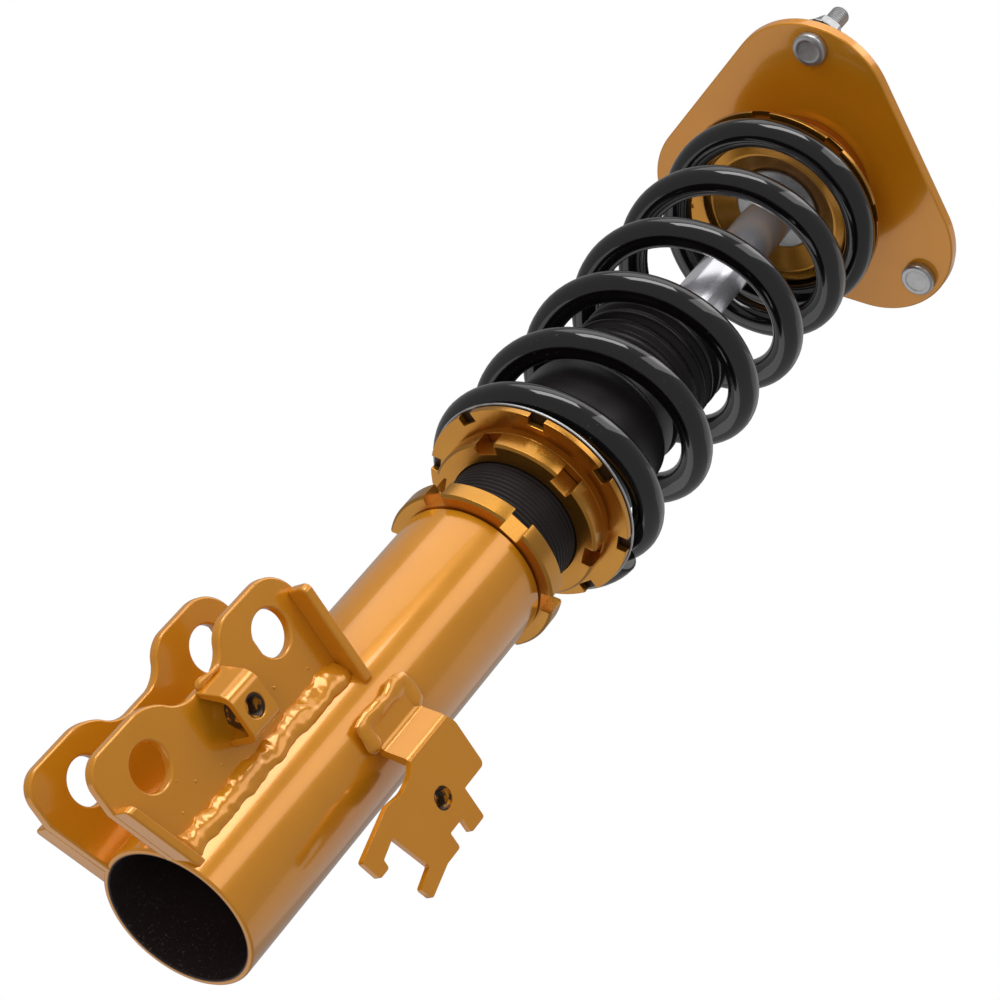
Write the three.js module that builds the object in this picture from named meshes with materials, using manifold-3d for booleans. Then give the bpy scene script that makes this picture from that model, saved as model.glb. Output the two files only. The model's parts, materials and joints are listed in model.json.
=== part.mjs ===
// A strut coilover: a bracket tube with two knuckle ears, a threaded twin-tube damper, a coil spring
// between an adjustable perch and an upper seat, and a top plate on a spherical bearing.
// Millimetres, +Z up along the strut's axis. The origin is on that axis at the bracket tube's open foot,
// and the knuckle ears stand out towards -X. Angles are in degrees about +Z, counted from +X.
import * as THREE from "three";
import { mergeVertices } from "three/addons/utils/BufferGeometryUtils.js";
import Module from "manifold-3d";

const wasm = await Module();
wasm.setup();

// Clearances
const seatGap = 0.3; // between faces that rest on each other
const fitGap = 0.3; // around a shaft, spigot or thread
const overshoot = 1; // how far a cutting tool runs past the face it cuts
const roundSides = 32; // sides of a large round
const innerSides = 20; // sides of a round inside the damper or the bearing
const smallSides = 16; // sides of a bolt-sized round

// Bracket tube and the ears that hold the knuckle
const tubeRadius = 28.5;
const tubeWall = 2.5;
const tubeLength = 187;
const knuckleWidth = 28; // between the ears
const earThickness = 4;
const earReach = 64.6; // from the strut's axis to the ears' outer edge
const earWaistReach = 54;
const earTop = 102;
const earBottom = -8.3;
const lowerLobeTop = 27;
const upperLobeBottom = 66;
const waistBottom = 36;
const waistTop = 59;
const boltOffset = 48.5; // from the strut's axis to the knuckle bolts
const lowerBoltHeight = 13.3;
const boltSpacing = 70;
const boltHoleRadius = 8.25;
const flangeWidth = 12; // stiffening flange along each ear's top
const flangeInset = 10; // from the ear's outer edge to the flange's end
const flangeTaper = 3; // how much narrower the flange is at that end
const flangeShoulder = 24; // distance from the axis where the flange turns in to the tube
const flangeStop = 13; // distance from the axis where it ends
const lipWidth = 6; // rolled lip along each ear's foot
const lipStart = 47; // distance from the axis where the lip begins
const lipRise = 15.5; // how far the lip climbs on its way to the axis
const weldLeg = 7;
const weldReach = 14; // distance from the axis at which the bead meets the ear's face

// Brake hose bracket on the near ear
const sheetThickness = 2.5;
const threadHoleRadius = 4.2;
const hoseBracketNear = 31.7; // distance from the axis to its near leg
const hoseBracketFar = 54.2;
const hoseBracketDepth = 12.2; // standing off the ear
const hoseBracketBottom = 43.7;
const hoseBracketHeight = 14.8;
const hoseBracketLean = 4.2; // how far its far leg leans in towards the front
const hoseHoleOffset = 40.9;
const weldNutRadius = 7.5;
const weldNutHeight = 5.5;

// Sensor cable bracket on the tube
const outerRound = 1; // rounding of the plate's outer corners
const innerRound = 0.5; // and of its inner ones
const sensorFootWidth = 9.5;
const sensorFootX = 3.2; // where the foot ends and the step begins
const sensorBottom = 82.5;
const sensorHeight = 24;
const sensorStepRun = 5.8;
const sensorStepLap = 1.5; // how far the step laps the plate
const sensorStandOff = 8.7;
const sensorHoleX = 27.3;
const sensorHoleZ = 85.2;
const sensorTopNearX = 12.9;
const sensorTopFarX = 31.3;
const sensorTopRise = 1.7; // of the plate's top above the step's
const sensorSideX = 43.6;
const sensorShoulderZ = 95.3;
const sideSlotX = 37.5;
const sideSlotTop = 87;
const sideSlotBottom = 79.3;
const sensorSideFootZ = 71;
const outerToeX = 47.2; // the outer leg's far corner
const outerToeZ = 57.6;
const outerToeWidth = 5.4;
const outerToeDrop = 1.8;
const lowerSlotFarX = 39;
const lowerSlotFarZ = 64.2;
const lowerSlotNearX = 21.8;
const lowerSlotNearZ = 58.4;
const hookX = 24.4; // the inner leg's hook
const hookZ = 50.2;
const hookReach = 3.3;
const hookDepth = 5.5;
const innerToeX = 19;
const innerToeZ = 42.4;
const innerEdgeX = 13.1;
const innerEdgeZ = 63.9;
const neckFarX = 14.4;
const neckFarZ = 72.5;
const neckNearX = 12.2;
const neckNearZ = 80.5;

// Threaded damper body
const bodyWall = 3.2;
const bodyInTube = 117; // length of the body inside the bracket tube
const bodyLength = 223;
const endCapHeight = 8;
const pressureRadius = 17.5;
const pressureWall = 2;
const valveFlangeRadius = 20;
const valveFlangeHeight = 8;
const spigotHeight = 6;
const guideHeight = 14;
const glandDepth = 14; // how far the gland nut reaches into the body
const glandHead = 4;
const glandBoreGap = 1; // around the rod
const sealRadius = 17;
const sealHeight = 5.4;

// Lock rings and spring perch
const ringRadius = 33.6;
const ringThickness = 8.7;
const ringNotches = 6;
const ringNotchWidth = 8;
const ringNotchDepth = 4.6;
const chamfer = 1;
const exposedThread = 23.4; // between the two lock rings
const bracketRingTurn = 9;
const perchRingTurn = 15;
const perchTurn = -4; // direction of the perch's first notch
const perchRadius = 41.3;
const perchRimThickness = 2.7;
const perchBossHeight = 1.8;
const perchBossRadius = 34;
const perchBossFlare = 3;
const perchHubRadius = 32.7;
const perchHubHeight = 8;
const rimNotches = 8; // in the perch, and in the upper seat
const rimNotchWidth = 6.2;
const rimNotchDepth = 4;
const perchWasherThickness = 1;
const perchWasherProud = 0.5; // past the perch's rim

// Coil spring
const springLength = 209;
const wireRadius = 6;
const springTurns = 6.3;
const flatTurns = 0.5; // turns that lie flat at each end
const rampTurns = 0.35; // turns over which the pitch opens
const springStartTurn = -24;
const stepsPerTurn = 24;
const wireSides = 6;

// Rod, piston and bump stop
const rodRadius = 10;
const rodStudRadius = 7;
const pistonStudRadius = 6;
const pistonHeight = 14;
const bandHeight = 6;
const bandDepth = 1.6;
const pistonNutHeight = 9;
const pistonNutAcross = 18;
const rodTail = 2; // of the rod's end past the piston nut
const reboundStopRadius = 14;
const reboundStopHeight = 6;
const bumpStopRadius = 20;
const bumpStopHeight = 40;
const bumpStopGrooves = 3;
const bumpStopGrooveDepth = 4;
const bumpStopGrooveHalf = 2; // half a groove's height
const bumpStopStep = 1; // how much narrower each bulge is than the one below
const rodTop = 20.5; // rod end above the bearing's top face

// Dust boot
const bootWall = 2.5;
const bootSkirtRadius = 30.7;
const bootSkirtTaper = 1;
const bootSkirtTop = 10; // below the body's top
const bootNeckWall = 1.9;
const bootRibs = 7;
const ribPitch = 6.8;
const ribDepth = 2.1;
const bootBore = 24.2;
const bootRibWall = 2; // between the bore and the ribs' roots
const bootCapHeight = 6; // from the last rib to the top
const bootRimRadius = 23.5;
const bootMouthRadius = 11.5;

// Upper seat
const seatRadius = 44;
const seatFlange = 2;
const seatHubDepth = 5.8;
const seatConeRadius = 27.5;
const seatTurn = 22; // direction of the seat's first notch
const seatNotchWidth = 8;
const seatNotchDepth = 3;
const rodWasherRadius = 18;
const rodWasherThickness = 3.5;
const rodWasherSink = 0.7; // how far the washer sits below the seat's spring face
const seatRecessDepth = 2;
const seatShoulderWidth = 14;
const seatShoulderHeight = 5.5;
const seatConeHeight = 9.5;
const seatConeTop = 6; // width of the cone's top face round the neck
const seatNeckRadius = 11;
const seatNeckHeight = 14.4;

// Spherical bearing, its housing and the top plate
const ballRadius = 14;
const ballHalfHeight = 9.5;
const raceRadius = 20;
const raceHalfHeight = 8;
const housingWall = 5;
const housingFlangeRadius = 30;
const housingFlangeThickness = 4;
const housingLip = 1.8;
const housingLipBore = 17;
const housingRim = 1.5; // above the snap ring's groove
const snapRingThickness = 1.8;
const snapRingWidth = 3;
const snapRingSlot = 30; // degrees left open
const plateThickness = 5;
const studEdge = 9.6; // from a stud's centre to the plate's corner
const plateCornerRadius = 36.2;
const plateTurn = -24; // direction of the first corner
const studCircleRadius = 63.6;
const studCount = 3;

// Fasteners
const studRadius = 4;
const studHeadRadius = 7.2;
const studHeadHeight = 3.6;
const studLength = 24; // above the plate
const serratedRadius = 9.6;
const serratedThickness = 1;
const serrations = 16;
const serrationDepth = 0.9;
const nutFlangeRadius = 9;
const nutFlangeHeight = 1.6;
const nutHeight = 8;
const nutAcross = 13;
const topWasherRadius = 11;
const topWasherThickness = 2.6;
const topNutHeight = 9;
const topNutAcross = 21;

// Sizes that follow from the ones above
const plateReach = studCircleRadius + studEdge; // from the axis to a corner
const bodyRadius = tubeRadius - tubeWall - fitGap;
const bodyBore = bodyRadius - bodyWall;
const insertRadius = bodyBore - fitGap;
const threadBore = bodyRadius + fitGap;
const bodyBottom = tubeLength - bodyInTube;
const bodyTop = bodyBottom + bodyLength;
const pressureBore = pressureRadius - pressureWall;
const spigotRadius = pressureBore - fitGap;
const rodBore = rodRadius + fitGap;
const bracketRingBottom = tubeLength + seatGap;
const perchRingBottom = bracketRingBottom + ringThickness + exposedThread;
const perchBottom = perchRingBottom + ringThickness + seatGap;
const perchRimTop = perchBottom + perchBossHeight + perchRimThickness;
const perchWasherBottom = perchRimTop + seatGap;
const springBottom = perchWasherBottom + perchWasherThickness + seatGap;
const springTop = springBottom + springLength;
const springRadius = perchHubRadius + 2 * fitGap + wireRadius;
const seatBottom = springTop + seatGap;
const seatTop = seatBottom + seatFlange;
const ballCentre = seatTop + seatNeckHeight + seatGap + ballHalfHeight;
const ballTop = ballCentre + ballHalfHeight;
const glandBottom = bodyTop - glandDepth;
const guideTop = glandBottom - seatGap;
const guideBottom = guideTop - guideHeight;
const reboundStopTop = guideBottom - spigotHeight - seatGap;
const pistonTop = reboundStopTop - reboundStopHeight - seatGap;
const rodShoulder = seatBottom - rodWasherThickness + rodWasherSink;
const valveBottom = bodyBottom + endCapHeight + seatGap;
const earInner = knuckleWidth / 2;
const earOuter = earInner + earThickness;

// Materials
function finish(color, roughness, metalness) {
  return new THREE.MeshStandardMaterial({ color, roughness, metalness });
}
const goldPaint = finish(0xc98222, 0.35, 0.15);
const goldAnodised = finish(0xd08a1e, 0.25, 0.85);
const springPaint = finish(0x17161a, 0.2, 0.1);
const blackSteel = finish(0x222024, 0.45, 0.6);
const blackRubber = finish(0x1b1b1d, 0.6, 0);
const polishedChrome = finish(0xc9ccd2, 0.08, 1);
const zincPlate = finish(0xb8bcc0, 0.3, 0.9);
const plainSteel = finish(0x8f9296, 0.35, 0.9);
const sealRubber = finish(0x2a2420, 0.7, 0);
const bumpFoam = finish(0xc9b458, 0.8, 0);
const bandPlastic = finish(0x4d5a52, 0.6, 0);

// Booleans
function toSolid(geometry) {
  const bare = geometry.index ? geometry.toNonIndexed() : geometry.clone();
  bare.deleteAttribute("normal");
  bare.deleteAttribute("uv");
  const merged = mergeVertices(bare, 1e-4);
  const vertProperties = merged.attributes.position.array;
  const triVerts = new Uint32Array(merged.index.array);
  return new wasm.Manifold(new wasm.Mesh({ numProp: 3, vertProperties, triVerts }));
}

function toGeometry(solid) {
  const mesh = solid.getMesh();
  const geometry = new THREE.BufferGeometry();
  geometry.setAttribute("position", new THREE.BufferAttribute(mesh.vertProperties, 3));
  geometry.setIndex(new THREE.BufferAttribute(mesh.triVerts, 1));
  geometry.computeVertexNormals();
  return geometry;
}

function join(...geometries) {
  const solids = geometries.map(toSolid);
  return toGeometry(solids.reduce((whole, piece) => whole.add(piece)));
}

function cut(geometry, ...tools) {
  return toGeometry(tools.reduce((whole, tool) => whole.subtract(toSolid(tool)), toSolid(geometry)));
}

// Shapes. A profile is a closed loop of [radius, height] that runs with the material on its left.
function revolve(profile, sides = roundSides) {
  const loop = [...profile, profile[0]].map(([radius, height]) => new THREE.Vector2(radius, height));
  return new THREE.LatheGeometry(loop, sides).rotateX(Math.PI / 2);
}

function ringSolid(outer, bore, height, sides = roundSides) {
  return revolve([[bore, 0], [outer, 0], [outer, height], [bore, height]], sides);
}

function chamferedRing(outer, bore, height, edge) {
  const profile = [
    [bore, 0],
    [outer - edge, 0],
    [outer, edge],
    [outer, height - edge],
    [outer - edge, height],
    [bore, height],
  ];
  return revolve(profile);
}

function rod(radius, height, sides = roundSides) {
  const cylinder = new THREE.CylinderGeometry(radius, radius, height, sides);
  return cylinder.rotateX(Math.PI / 2).translate(0, 0, height / 2);
}

// A cutting rod for a hole through a piece that stands from 0 to height
function boreTool(radius, height, sides = roundSides) {
  return rod(radius, height + 2 * overshoot, sides).translate(0, 0, -overshoot);
}

function hexRod(acrossFlats, height) {
  return rod(acrossFlats / Math.sqrt(3), height, 6);
}

function box(x0, x1, y0, y1, z0, z1) {
  const geometry = new THREE.BoxGeometry(x1 - x0, y1 - y0, z1 - z0);
  return geometry.translate((x0 + x1) / 2, (y0 + y1) / 2, (z0 + z1) / 2);
}

// An outline of [x, y, corner radius], with its corners rounded.
function roundedShape(points) {
  const corners = points.map(([x, y, radius = 0]) => ({ at: new THREE.Vector2(x, y), radius }));
  const shape = new THREE.Shape();
  corners.forEach(({ at, radius }, i) => {
    const before = corners[(i + corners.length - 1) % corners.length].at;
    const after = corners[(i + 1) % corners.length].at;
    const start = at.clone().add(before.clone().sub(at).setLength(radius));
    const end = at.clone().add(after.clone().sub(at).setLength(radius));
    if (i === 0) shape.moveTo(start.x, start.y);
    else shape.lineTo(start.x, start.y);
    if (radius > 0) shape.quadraticCurveTo(at.x, at.y, end.x, end.y);
  });
  shape.closePath();
  return shape;
}

function slab(shape, depth, curveSegments = 5) {
  return new THREE.ExtrudeGeometry(shape, { depth, bevelEnabled: false, curveSegments });
}

// An outline of x and height, made a sheet that fills y from y0 to y1.
function uprightSheet(shape, y0, y1, curveSegments = 5) {
  return slab(shape, y1 - y0, curveSegments).rotateX(Math.PI / 2).translate(0, y1, 0);
}

function crossHole(x, z, radius, y0, y1) {
  const geometry = new THREE.CylinderGeometry(radius, radius, y1 - y0, smallSides);
  return geometry.translate(x, (y0 + y1) / 2, z);
}

function spread(count, turn, make) {
  return Array.from({ length: count }, (_, i) => {
    const angle = turn + (i * 360) / count;
    return make().rotateZ(THREE.MathUtils.degToRad(angle));
  });
}

function notchTools(count, turn, width, inner, outer, z0, z1) {
  const half = width / 2;
  const bottom = z0 - overshoot;
  const top = z1 + overshoot;
  return spread(count, turn, () => box(inner, outer + overshoot, -half, half, bottom, top));
}

function part(name, geometry, material, height = 0) {
  const mesh = new THREE.Mesh(geometry, material);
  mesh.name = name;
  mesh.position.z = height;
  return mesh;
}

function body(...meshes) {
  const group = new THREE.Group();
  group.add(...meshes);
  return group;
}

// Bracket: tube, ears, welds and the two small brackets
function bracketTube() {
  return ringSolid(tubeRadius, tubeRadius - tubeWall, tubeLength);
}

function tubeClearance() {
  return rod(tubeRadius + seatGap, 2 * tubeLength).translate(0, 0, -tubeLength / 2);
}

function earPlate() {
  const outline = roundedShape([
    [0, earBottom + lipRise],
    [-lipStart, earBottom],
    [-earReach, earBottom, 9],
    [-earReach, lowerLobeTop, 8],
    [-earWaistReach, waistBottom, 6],
    [-earWaistReach, waistTop, 6],
    [-earReach, upperLobeBottom, 6],
    [-earReach, earTop, 14],
    [0, earTop],
  ]);
  return uprightSheet(outline, -earOuter, -earInner);
}

function earLip() {
  const outline = roundedShape([
    [0, earBottom + lipRise],
    [0, earBottom + lipRise + earThickness],
    [-lipStart, earBottom + earThickness],
    [-lipStart, earBottom],
  ]);
  return uprightSheet(outline, -earOuter - lipWidth, -earInner);
}

function earFlange() {
  const outer = -earOuter - flangeWidth;
  const end = -earReach + flangeInset;
  const outline = roundedShape([
    [end, -earInner],
    [end, outer + flangeTaper, 2],
    [end + flangeInset, outer, 6],
    [-flangeShoulder, outer, 6],
    [-flangeStop, outer + flangeTaper],
    [-flangeStop, -earInner],
  ]);
  return slab(outline, earThickness).translate(0, 0, earTop - earThickness);
}

function knuckleEar() {
  const whole = join(earPlate(), earLip(), earFlange());
  const holes = [lowerBoltHeight, lowerBoltHeight + boltSpacing].map((z) =>
    crossHole(-boltOffset, z, boltHoleRadius, -earOuter - overshoot, -earInner + overshoot),
  );
  return cut(whole, tubeClearance(), ...holes);
}

function earWeld() {
  const face = -earOuter - seatGap;
  const outline = new THREE.Shape([
    new THREE.Vector2(-tubeRadius, face),
    new THREE.Vector2(-weldReach, face),
    new THREE.Vector2(-weldReach, face - weldLeg),
  ]);
  const start = earBottom + lipRise + earThickness + seatGap;
  const length = earTop - earThickness - seatGap - start;
  const bead = slab(outline, length).translate(0, 0, start);
  return cut(bead, tubeClearance());
}

// The threaded hole through a sheet whose front face is at y = face
function sheetHole(x, z, face) {
  return crossHole(x, z, threadHoleRadius, face - overshoot, face + sheetThickness + overshoot);
}

function hoseBracket() {
  const back = -earOuter - seatGap;
  const front = back - hoseBracketDepth;
  const outline = new THREE.Shape([
    new THREE.Vector2(-hoseBracketFar, back),
    new THREE.Vector2(-hoseBracketFar + hoseBracketLean, front),
    new THREE.Vector2(-hoseBracketNear, front),
    new THREE.Vector2(-hoseBracketNear, back),
    new THREE.Vector2(-hoseBracketNear - sheetThickness, back),
    new THREE.Vector2(-hoseBracketNear - sheetThickness, front + sheetThickness),
    new THREE.Vector2(-hoseBracketFar + hoseBracketLean + sheetThickness, front + sheetThickness),
    new THREE.Vector2(-hoseBracketFar + sheetThickness, back),
  ]);
  const channel = slab(outline, hoseBracketHeight).translate(0, 0, hoseBracketBottom);
  const holeHeight = hoseBracketBottom + hoseBracketHeight / 2;
  const hole = sheetHole(-hoseHoleOffset, holeHeight, front);
  return cut(channel, hole);
}

function sensorStep(outer) {
  const inner = outer + sheetThickness;
  const plateFace = outer - sensorStandOff;
  const start = sensorFootX;
  const end = sensorFootX + sensorStepRun;
  const outline = new THREE.Shape([
    new THREE.Vector2(start - sensorFootWidth, outer),
    new THREE.Vector2(start, outer),
    new THREE.Vector2(end, plateFace),
    new THREE.Vector2(end + sensorStepLap, plateFace),
    new THREE.Vector2(end + sensorStepLap, plateFace + sheetThickness),
    new THREE.Vector2(start + sensorStepLap, inner),
    new THREE.Vector2(start - sensorFootWidth, inner),
  ]);
  return slab(outline, sensorHeight).translate(0, 0, sensorBottom);
}

function sensorPlate(face) {
  const start = sensorFootX + sensorStepRun + sensorStepLap / 3;
  const top = sensorBottom + sensorHeight;
  const outline = roundedShape([
    [start, sensorBottom],
    [start, top],
    [sensorTopNearX, top + sensorTopRise, outerRound],
    [sensorTopFarX, top + sensorTopRise, 2 * outerRound],
    [sensorTopFarX, sensorShoulderZ, innerRound],
    [sensorSideX, sensorShoulderZ, outerRound],
    [sensorSideX, sideSlotTop, outerRound],
    [sideSlotX, sideSlotTop, innerRound],
    [sideSlotX, sideSlotBottom, innerRound],
    [sensorSideX, sideSlotBottom, outerRound],
    [sensorSideX, sensorSideFootZ],
    [outerToeX, outerToeZ, outerRound],
    [outerToeX - outerToeWidth, outerToeZ - outerToeDrop, outerRound],
    [lowerSlotFarX, lowerSlotFarZ, innerRound],
    [lowerSlotNearX, lowerSlotNearZ, innerRound],
    [hookX, hookZ, innerRound],
    [hookX + hookReach, hookZ, outerRound],
    [hookX + hookReach, hookZ - hookDepth, outerRound],
    [innerToeX, innerToeZ, outerRound],
    [innerEdgeX, innerEdgeZ],
    [neckFarX, neckFarZ, 2 * outerRound],
    [neckNearX, neckNearZ, 2 * outerRound],
  ]);
  return uprightSheet(outline, face, face + sheetThickness, 2);
}

function sensorBracket() {
  const outer = -tubeRadius - seatGap - sheetThickness;
  const face = outer - sensorStandOff;
  const whole = join(sensorStep(outer), sensorPlate(face));
  return cut(whole, sheetHole(sensorHoleX, sensorHoleZ, face));
}

// A weld nut whose axis runs along Y, with its face at y = 0 and its body behind it.
function weldNut() {
  const nut = cut(
    rod(weldNutRadius, weldNutHeight, 6),
    boreTool(threadHoleRadius, weldNutHeight, smallSides),
  );
  return nut.rotateX(-Math.PI / 2);
}

function makeBracket() {
  const nearEar = part("knuckle_ear_near", knuckleEar(), goldPaint);
  const farEar = part("knuckle_ear_far", knuckleEar(), goldPaint);
  farEar.scale.y = -1;
  const nearWeld = part("ear_weld_near", earWeld(), goldPaint);
  const farWeld = part("ear_weld_far", earWeld(), goldPaint);
  farWeld.scale.y = -1;
  const hoseFace = -earOuter - seatGap - hoseBracketDepth;
  const hoseNut = part("hose_weld_nut", weldNut(), goldPaint);
  const hoseHoleHeight = hoseBracketBottom + hoseBracketHeight / 2;
  hoseNut.position.set(-hoseHoleOffset, hoseFace + sheetThickness + seatGap, hoseHoleHeight);
  const sensorFace = -tubeRadius - seatGap - sheetThickness - sensorStandOff;
  const sensorNut = part("sensor_weld_nut", weldNut(), goldPaint);
  sensorNut.position.set(sensorHoleX, sensorFace + sheetThickness + seatGap, sensorHoleZ);
  return body(
    part("bracket_tube", bracketTube(), goldPaint),
    nearEar,
    farEar,
    nearWeld,
    farWeld,
    part("hose_bracket", hoseBracket(), goldPaint),
    hoseNut,
    part("sensor_bracket", sensorBracket(), goldPaint),
    sensorNut,
  );
}

// Rings and perch
function lockRing(turn) {
  const blank = chamferedRing(ringRadius, threadBore, ringThickness, chamfer);
  const floor = ringRadius - ringNotchDepth;
  const tools = notchTools(ringNotches, turn, ringNotchWidth, floor, ringRadius, 0, ringThickness);
  return cut(blank, ...tools);
}

function springPerch() {
  const rimBottom = perchBossHeight;
  const rimTop = rimBottom + perchRimThickness;
  const blank = revolve([
    [threadBore, 0],
    [perchBossRadius, 0],
    [perchBossRadius + perchBossFlare, rimBottom],
    [perchRadius, rimBottom],
    [perchRadius, rimTop],
    [perchHubRadius, rimTop],
    [perchHubRadius, rimTop + perchHubHeight - chamfer],
    [perchHubRadius - chamfer, rimTop + perchHubHeight],
    [threadBore, rimTop + perchHubHeight],
  ]);
  const floor = perchRadius - rimNotchDepth;
  const tools = notchTools(rimNotches, perchTurn, rimNotchWidth, floor, perchRadius, rimBottom, rimTop);
  return cut(blank, ...tools);
}

// Coil spring: one round wire whose two end turns lie flat
function pitchShare(turn) {
  const opened = THREE.MathUtils.clamp(turn - flatTurns, 0, rampTurns);
  return (opened * opened) / (2 * rampTurns) + Math.max(turn - flatTurns - rampTurns, 0);
}

function springRise(turn) {
  const fullTurns = springTurns - 2 * flatTurns - rampTurns;
  const pitch = (springLength - 2 * wireRadius) / fullTurns;
  const half = springTurns / 2;
  if (turn <= half) return pitch * pitchShare(turn);
  return springLength - 2 * wireRadius - pitch * pitchShare(springTurns - turn);
}

function springCentre(turn) {
  const angle = THREE.MathUtils.degToRad(springStartTurn + 360 * turn);
  const x = springRadius * Math.cos(angle);
  const y = springRadius * Math.sin(angle);
  return new THREE.Vector3(x, y, wireRadius + springRise(turn));
}

function springPath() {
  const steps = Math.round(springTurns * stepsPerTurn);
  return Array.from({ length: steps + 1 }, (_, i) => springCentre((i / steps) * springTurns));
}

function wireRing(path, i) {
  const ahead = path[Math.min(i + 1, path.length - 1)];
  const behind = path[Math.max(i - 1, 0)];
  const along = ahead.clone().sub(behind).normalize();
  const outward = new THREE.Vector3(path[i].x, path[i].y, 0).normalize();
  const upward = outward.clone().cross(along).normalize().negate();
  return Array.from({ length: wireSides }, (_, side) => {
    const angle = (2 * Math.PI * (side + 0.5)) / wireSides;
    const reach = outward.clone().multiplyScalar(wireRadius * Math.cos(angle));
    return path[i].clone().add(reach).addScaledVector(upward, wireRadius * Math.sin(angle));
  });
}

function leastSelfGap(path) {
  let least = Infinity;
  path.forEach((a, i) =>
    path.slice(i + stepsPerTurn / 2).forEach((b) => {
      least = Math.min(least, a.distanceTo(b) - 2 * wireRadius);
    }),
  );
  return least;
}

function coilSpring() {
  const path = springPath();
  const rings = path.map((_, i) => wireRing(path, i));
  const points = [...rings.flat(), path[0], path[path.length - 1]];
  const index = [];
  const at = (ring, side) => ring * wireSides + (side % wireSides);
  for (let ring = 0; ring < rings.length - 1; ring += 1) {
    for (let side = 0; side < wireSides; side += 1) {
      index.push(at(ring, side), at(ring, side + 1), at(ring + 1, side));
      index.push(at(ring, side + 1), at(ring + 1, side + 1), at(ring + 1, side));
    }
  }
  const last = rings.length - 1;
  for (let side = 0; side < wireSides; side += 1) {
    index.push(points.length - 2, at(0, side + 1), at(0, side));
    index.push(points.length - 1, at(last, side), at(last, side + 1));
  }
  console.log(`coil spring: least gap to itself ${leastSelfGap(path).toFixed(2)} mm`);
  const geometry = new THREE.BufferGeometry().setFromPoints(points);
  geometry.setIndex(index);
  geometry.computeVertexNormals();
  return geometry;
}

// Damper body and what it holds
function baseValve() {
  return join(
    rod(valveFlangeRadius, valveFlangeHeight, innerSides),
    rod(spigotRadius, valveFlangeHeight + spigotHeight, innerSides),
  );
}

function rodGuide() {
  const profile = [
    [rodBore, -spigotHeight],
    [spigotRadius, -spigotHeight],
    [spigotRadius, 0],
    [insertRadius, 0],
    [insertRadius, guideHeight],
    [rodBore, guideHeight],
  ];
  return revolve(profile, innerSides);
}

function glandNut() {
  const pocket = sealRadius + fitGap;
  const pocketDepth = sealHeight + 2 * seatGap;
  const head = (bodyBore + bootBore) / 2;
  const bore = rodRadius + glandBoreGap;
  const profile = [
    [pocket, 0],
    [insertRadius, 0],
    [insertRadius, glandDepth + seatGap],
    [head, glandDepth + seatGap],
    [head, glandDepth + glandHead],
    [bore, glandDepth + glandHead],
    [bore, pocketDepth],
    [pocket, pocketDepth],
  ];
  return revolve(profile, innerSides);
}

function bumpStop() {
  const outer = [];
  const pitch = bumpStopHeight / (bumpStopGrooves + 1);
  for (let i = 0; i <= bumpStopGrooves; i += 1) {
    const radius = bumpStopRadius - i * bumpStopStep;
    const top = (i + 1) * pitch;
    outer.push([radius, top - pitch + bumpStopGrooveHalf]);
    outer.push([radius, top - bumpStopGrooveHalf]);
    outer.push([radius - bumpStopGrooveDepth, top]);
  }
  const foot = bumpStopRadius - bumpStopGrooveDepth;
  const profile = [[rodBore, 0], [foot, 0], ...outer, [rodBore, bumpStopHeight]];
  return revolve(profile, innerSides);
}

function dustBoot() {
  const bottom = perchRimTop + perchHubHeight + seatGap;
  const skirtTop = bodyTop - bootSkirtTop;
  const shoulder = bodyTop + 2 * seatGap;
  const neck = threadBore + bootNeckWall;
  const root = bootBore + bootRibWall;
  const crest = root + ribDepth;
  const ribsBottom = shoulder + ribPitch / 6;
  const ribs = Array.from({ length: bootRibs }, (_, i) => [
    [root, ribsBottom + i * ribPitch],
    [crest, ribsBottom + (i + 0.5) * ribPitch],
  ]).flat();
  const ribsTop = ribsBottom + bootRibs * ribPitch;
  const top = ribsTop + bootCapHeight;
  const skirtBore = bootSkirtRadius - bootWall;
  return revolve([
    [skirtBore, bottom],
    [bootSkirtRadius, bottom],
    [bootSkirtRadius - bootSkirtTaper, skirtTop],
    [neck, skirtTop + bootSkirtTaper],
    [neck, shoulder],
    ...ribs,
    [root, ribsTop],
    [bootRimRadius, top],
    [bootMouthRadius, top],
    [bootMouthRadius, top - bootWall],
    [bootBore - bootWall, top - bootWall],
    [bootBore, ribsTop],
    [bootBore, shoulder],
    [threadBore, shoulder],
    [threadBore, skirtTop - bootWall],
    [skirtBore, skirtTop - 2 * bootWall],
  ]);
}

function makeDamper() {
  const shoulder = valveBottom + valveFlangeHeight + seatGap;
  const pressureLength = guideBottom - seatGap - shoulder;
  const pressureTube = ringSolid(pressureRadius, pressureBore, pressureLength, innerSides);
  const oilSeal = ringSolid(sealRadius, rodBore, sealHeight, innerSides);
  return body(
    part("damper_body", ringSolid(bodyRadius, bodyBore, bodyLength), blackSteel, bodyBottom),
    part("body_end_cap", rod(insertRadius, endCapHeight, innerSides), blackSteel, bodyBottom),
    part("base_valve", baseValve(), plainSteel, valveBottom),
    part("pressure_tube", pressureTube, plainSteel, shoulder),
    part("rod_guide", rodGuide(), plainSteel, guideBottom),
    part("oil_seal", oilSeal, sealRubber, glandBottom + seatGap),
    part("gland_nut", glandNut(), blackSteel, glandBottom),
    part("bump_stop", bumpStop(), bumpFoam, bodyTop + glandHead + seatGap),
    part("dust_boot", dustBoot(), blackRubber),
  );
}

// Rod and what is clamped to it
function pistonRod() {
  const lowerEnd = pistonTop - pistonHeight - pistonNutHeight - rodTail;
  const profile = [
    [0, lowerEnd],
    [pistonStudRadius, lowerEnd],
    [pistonStudRadius, pistonTop],
    [rodRadius, pistonTop],
    [rodRadius, rodShoulder],
    [rodStudRadius, rodShoulder],
    [rodStudRadius, ballTop + rodTop - chamfer],
    [rodStudRadius - chamfer, ballTop + rodTop],
    [0, ballTop + rodTop],
  ];
  return revolve(profile, innerSides);
}

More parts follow.
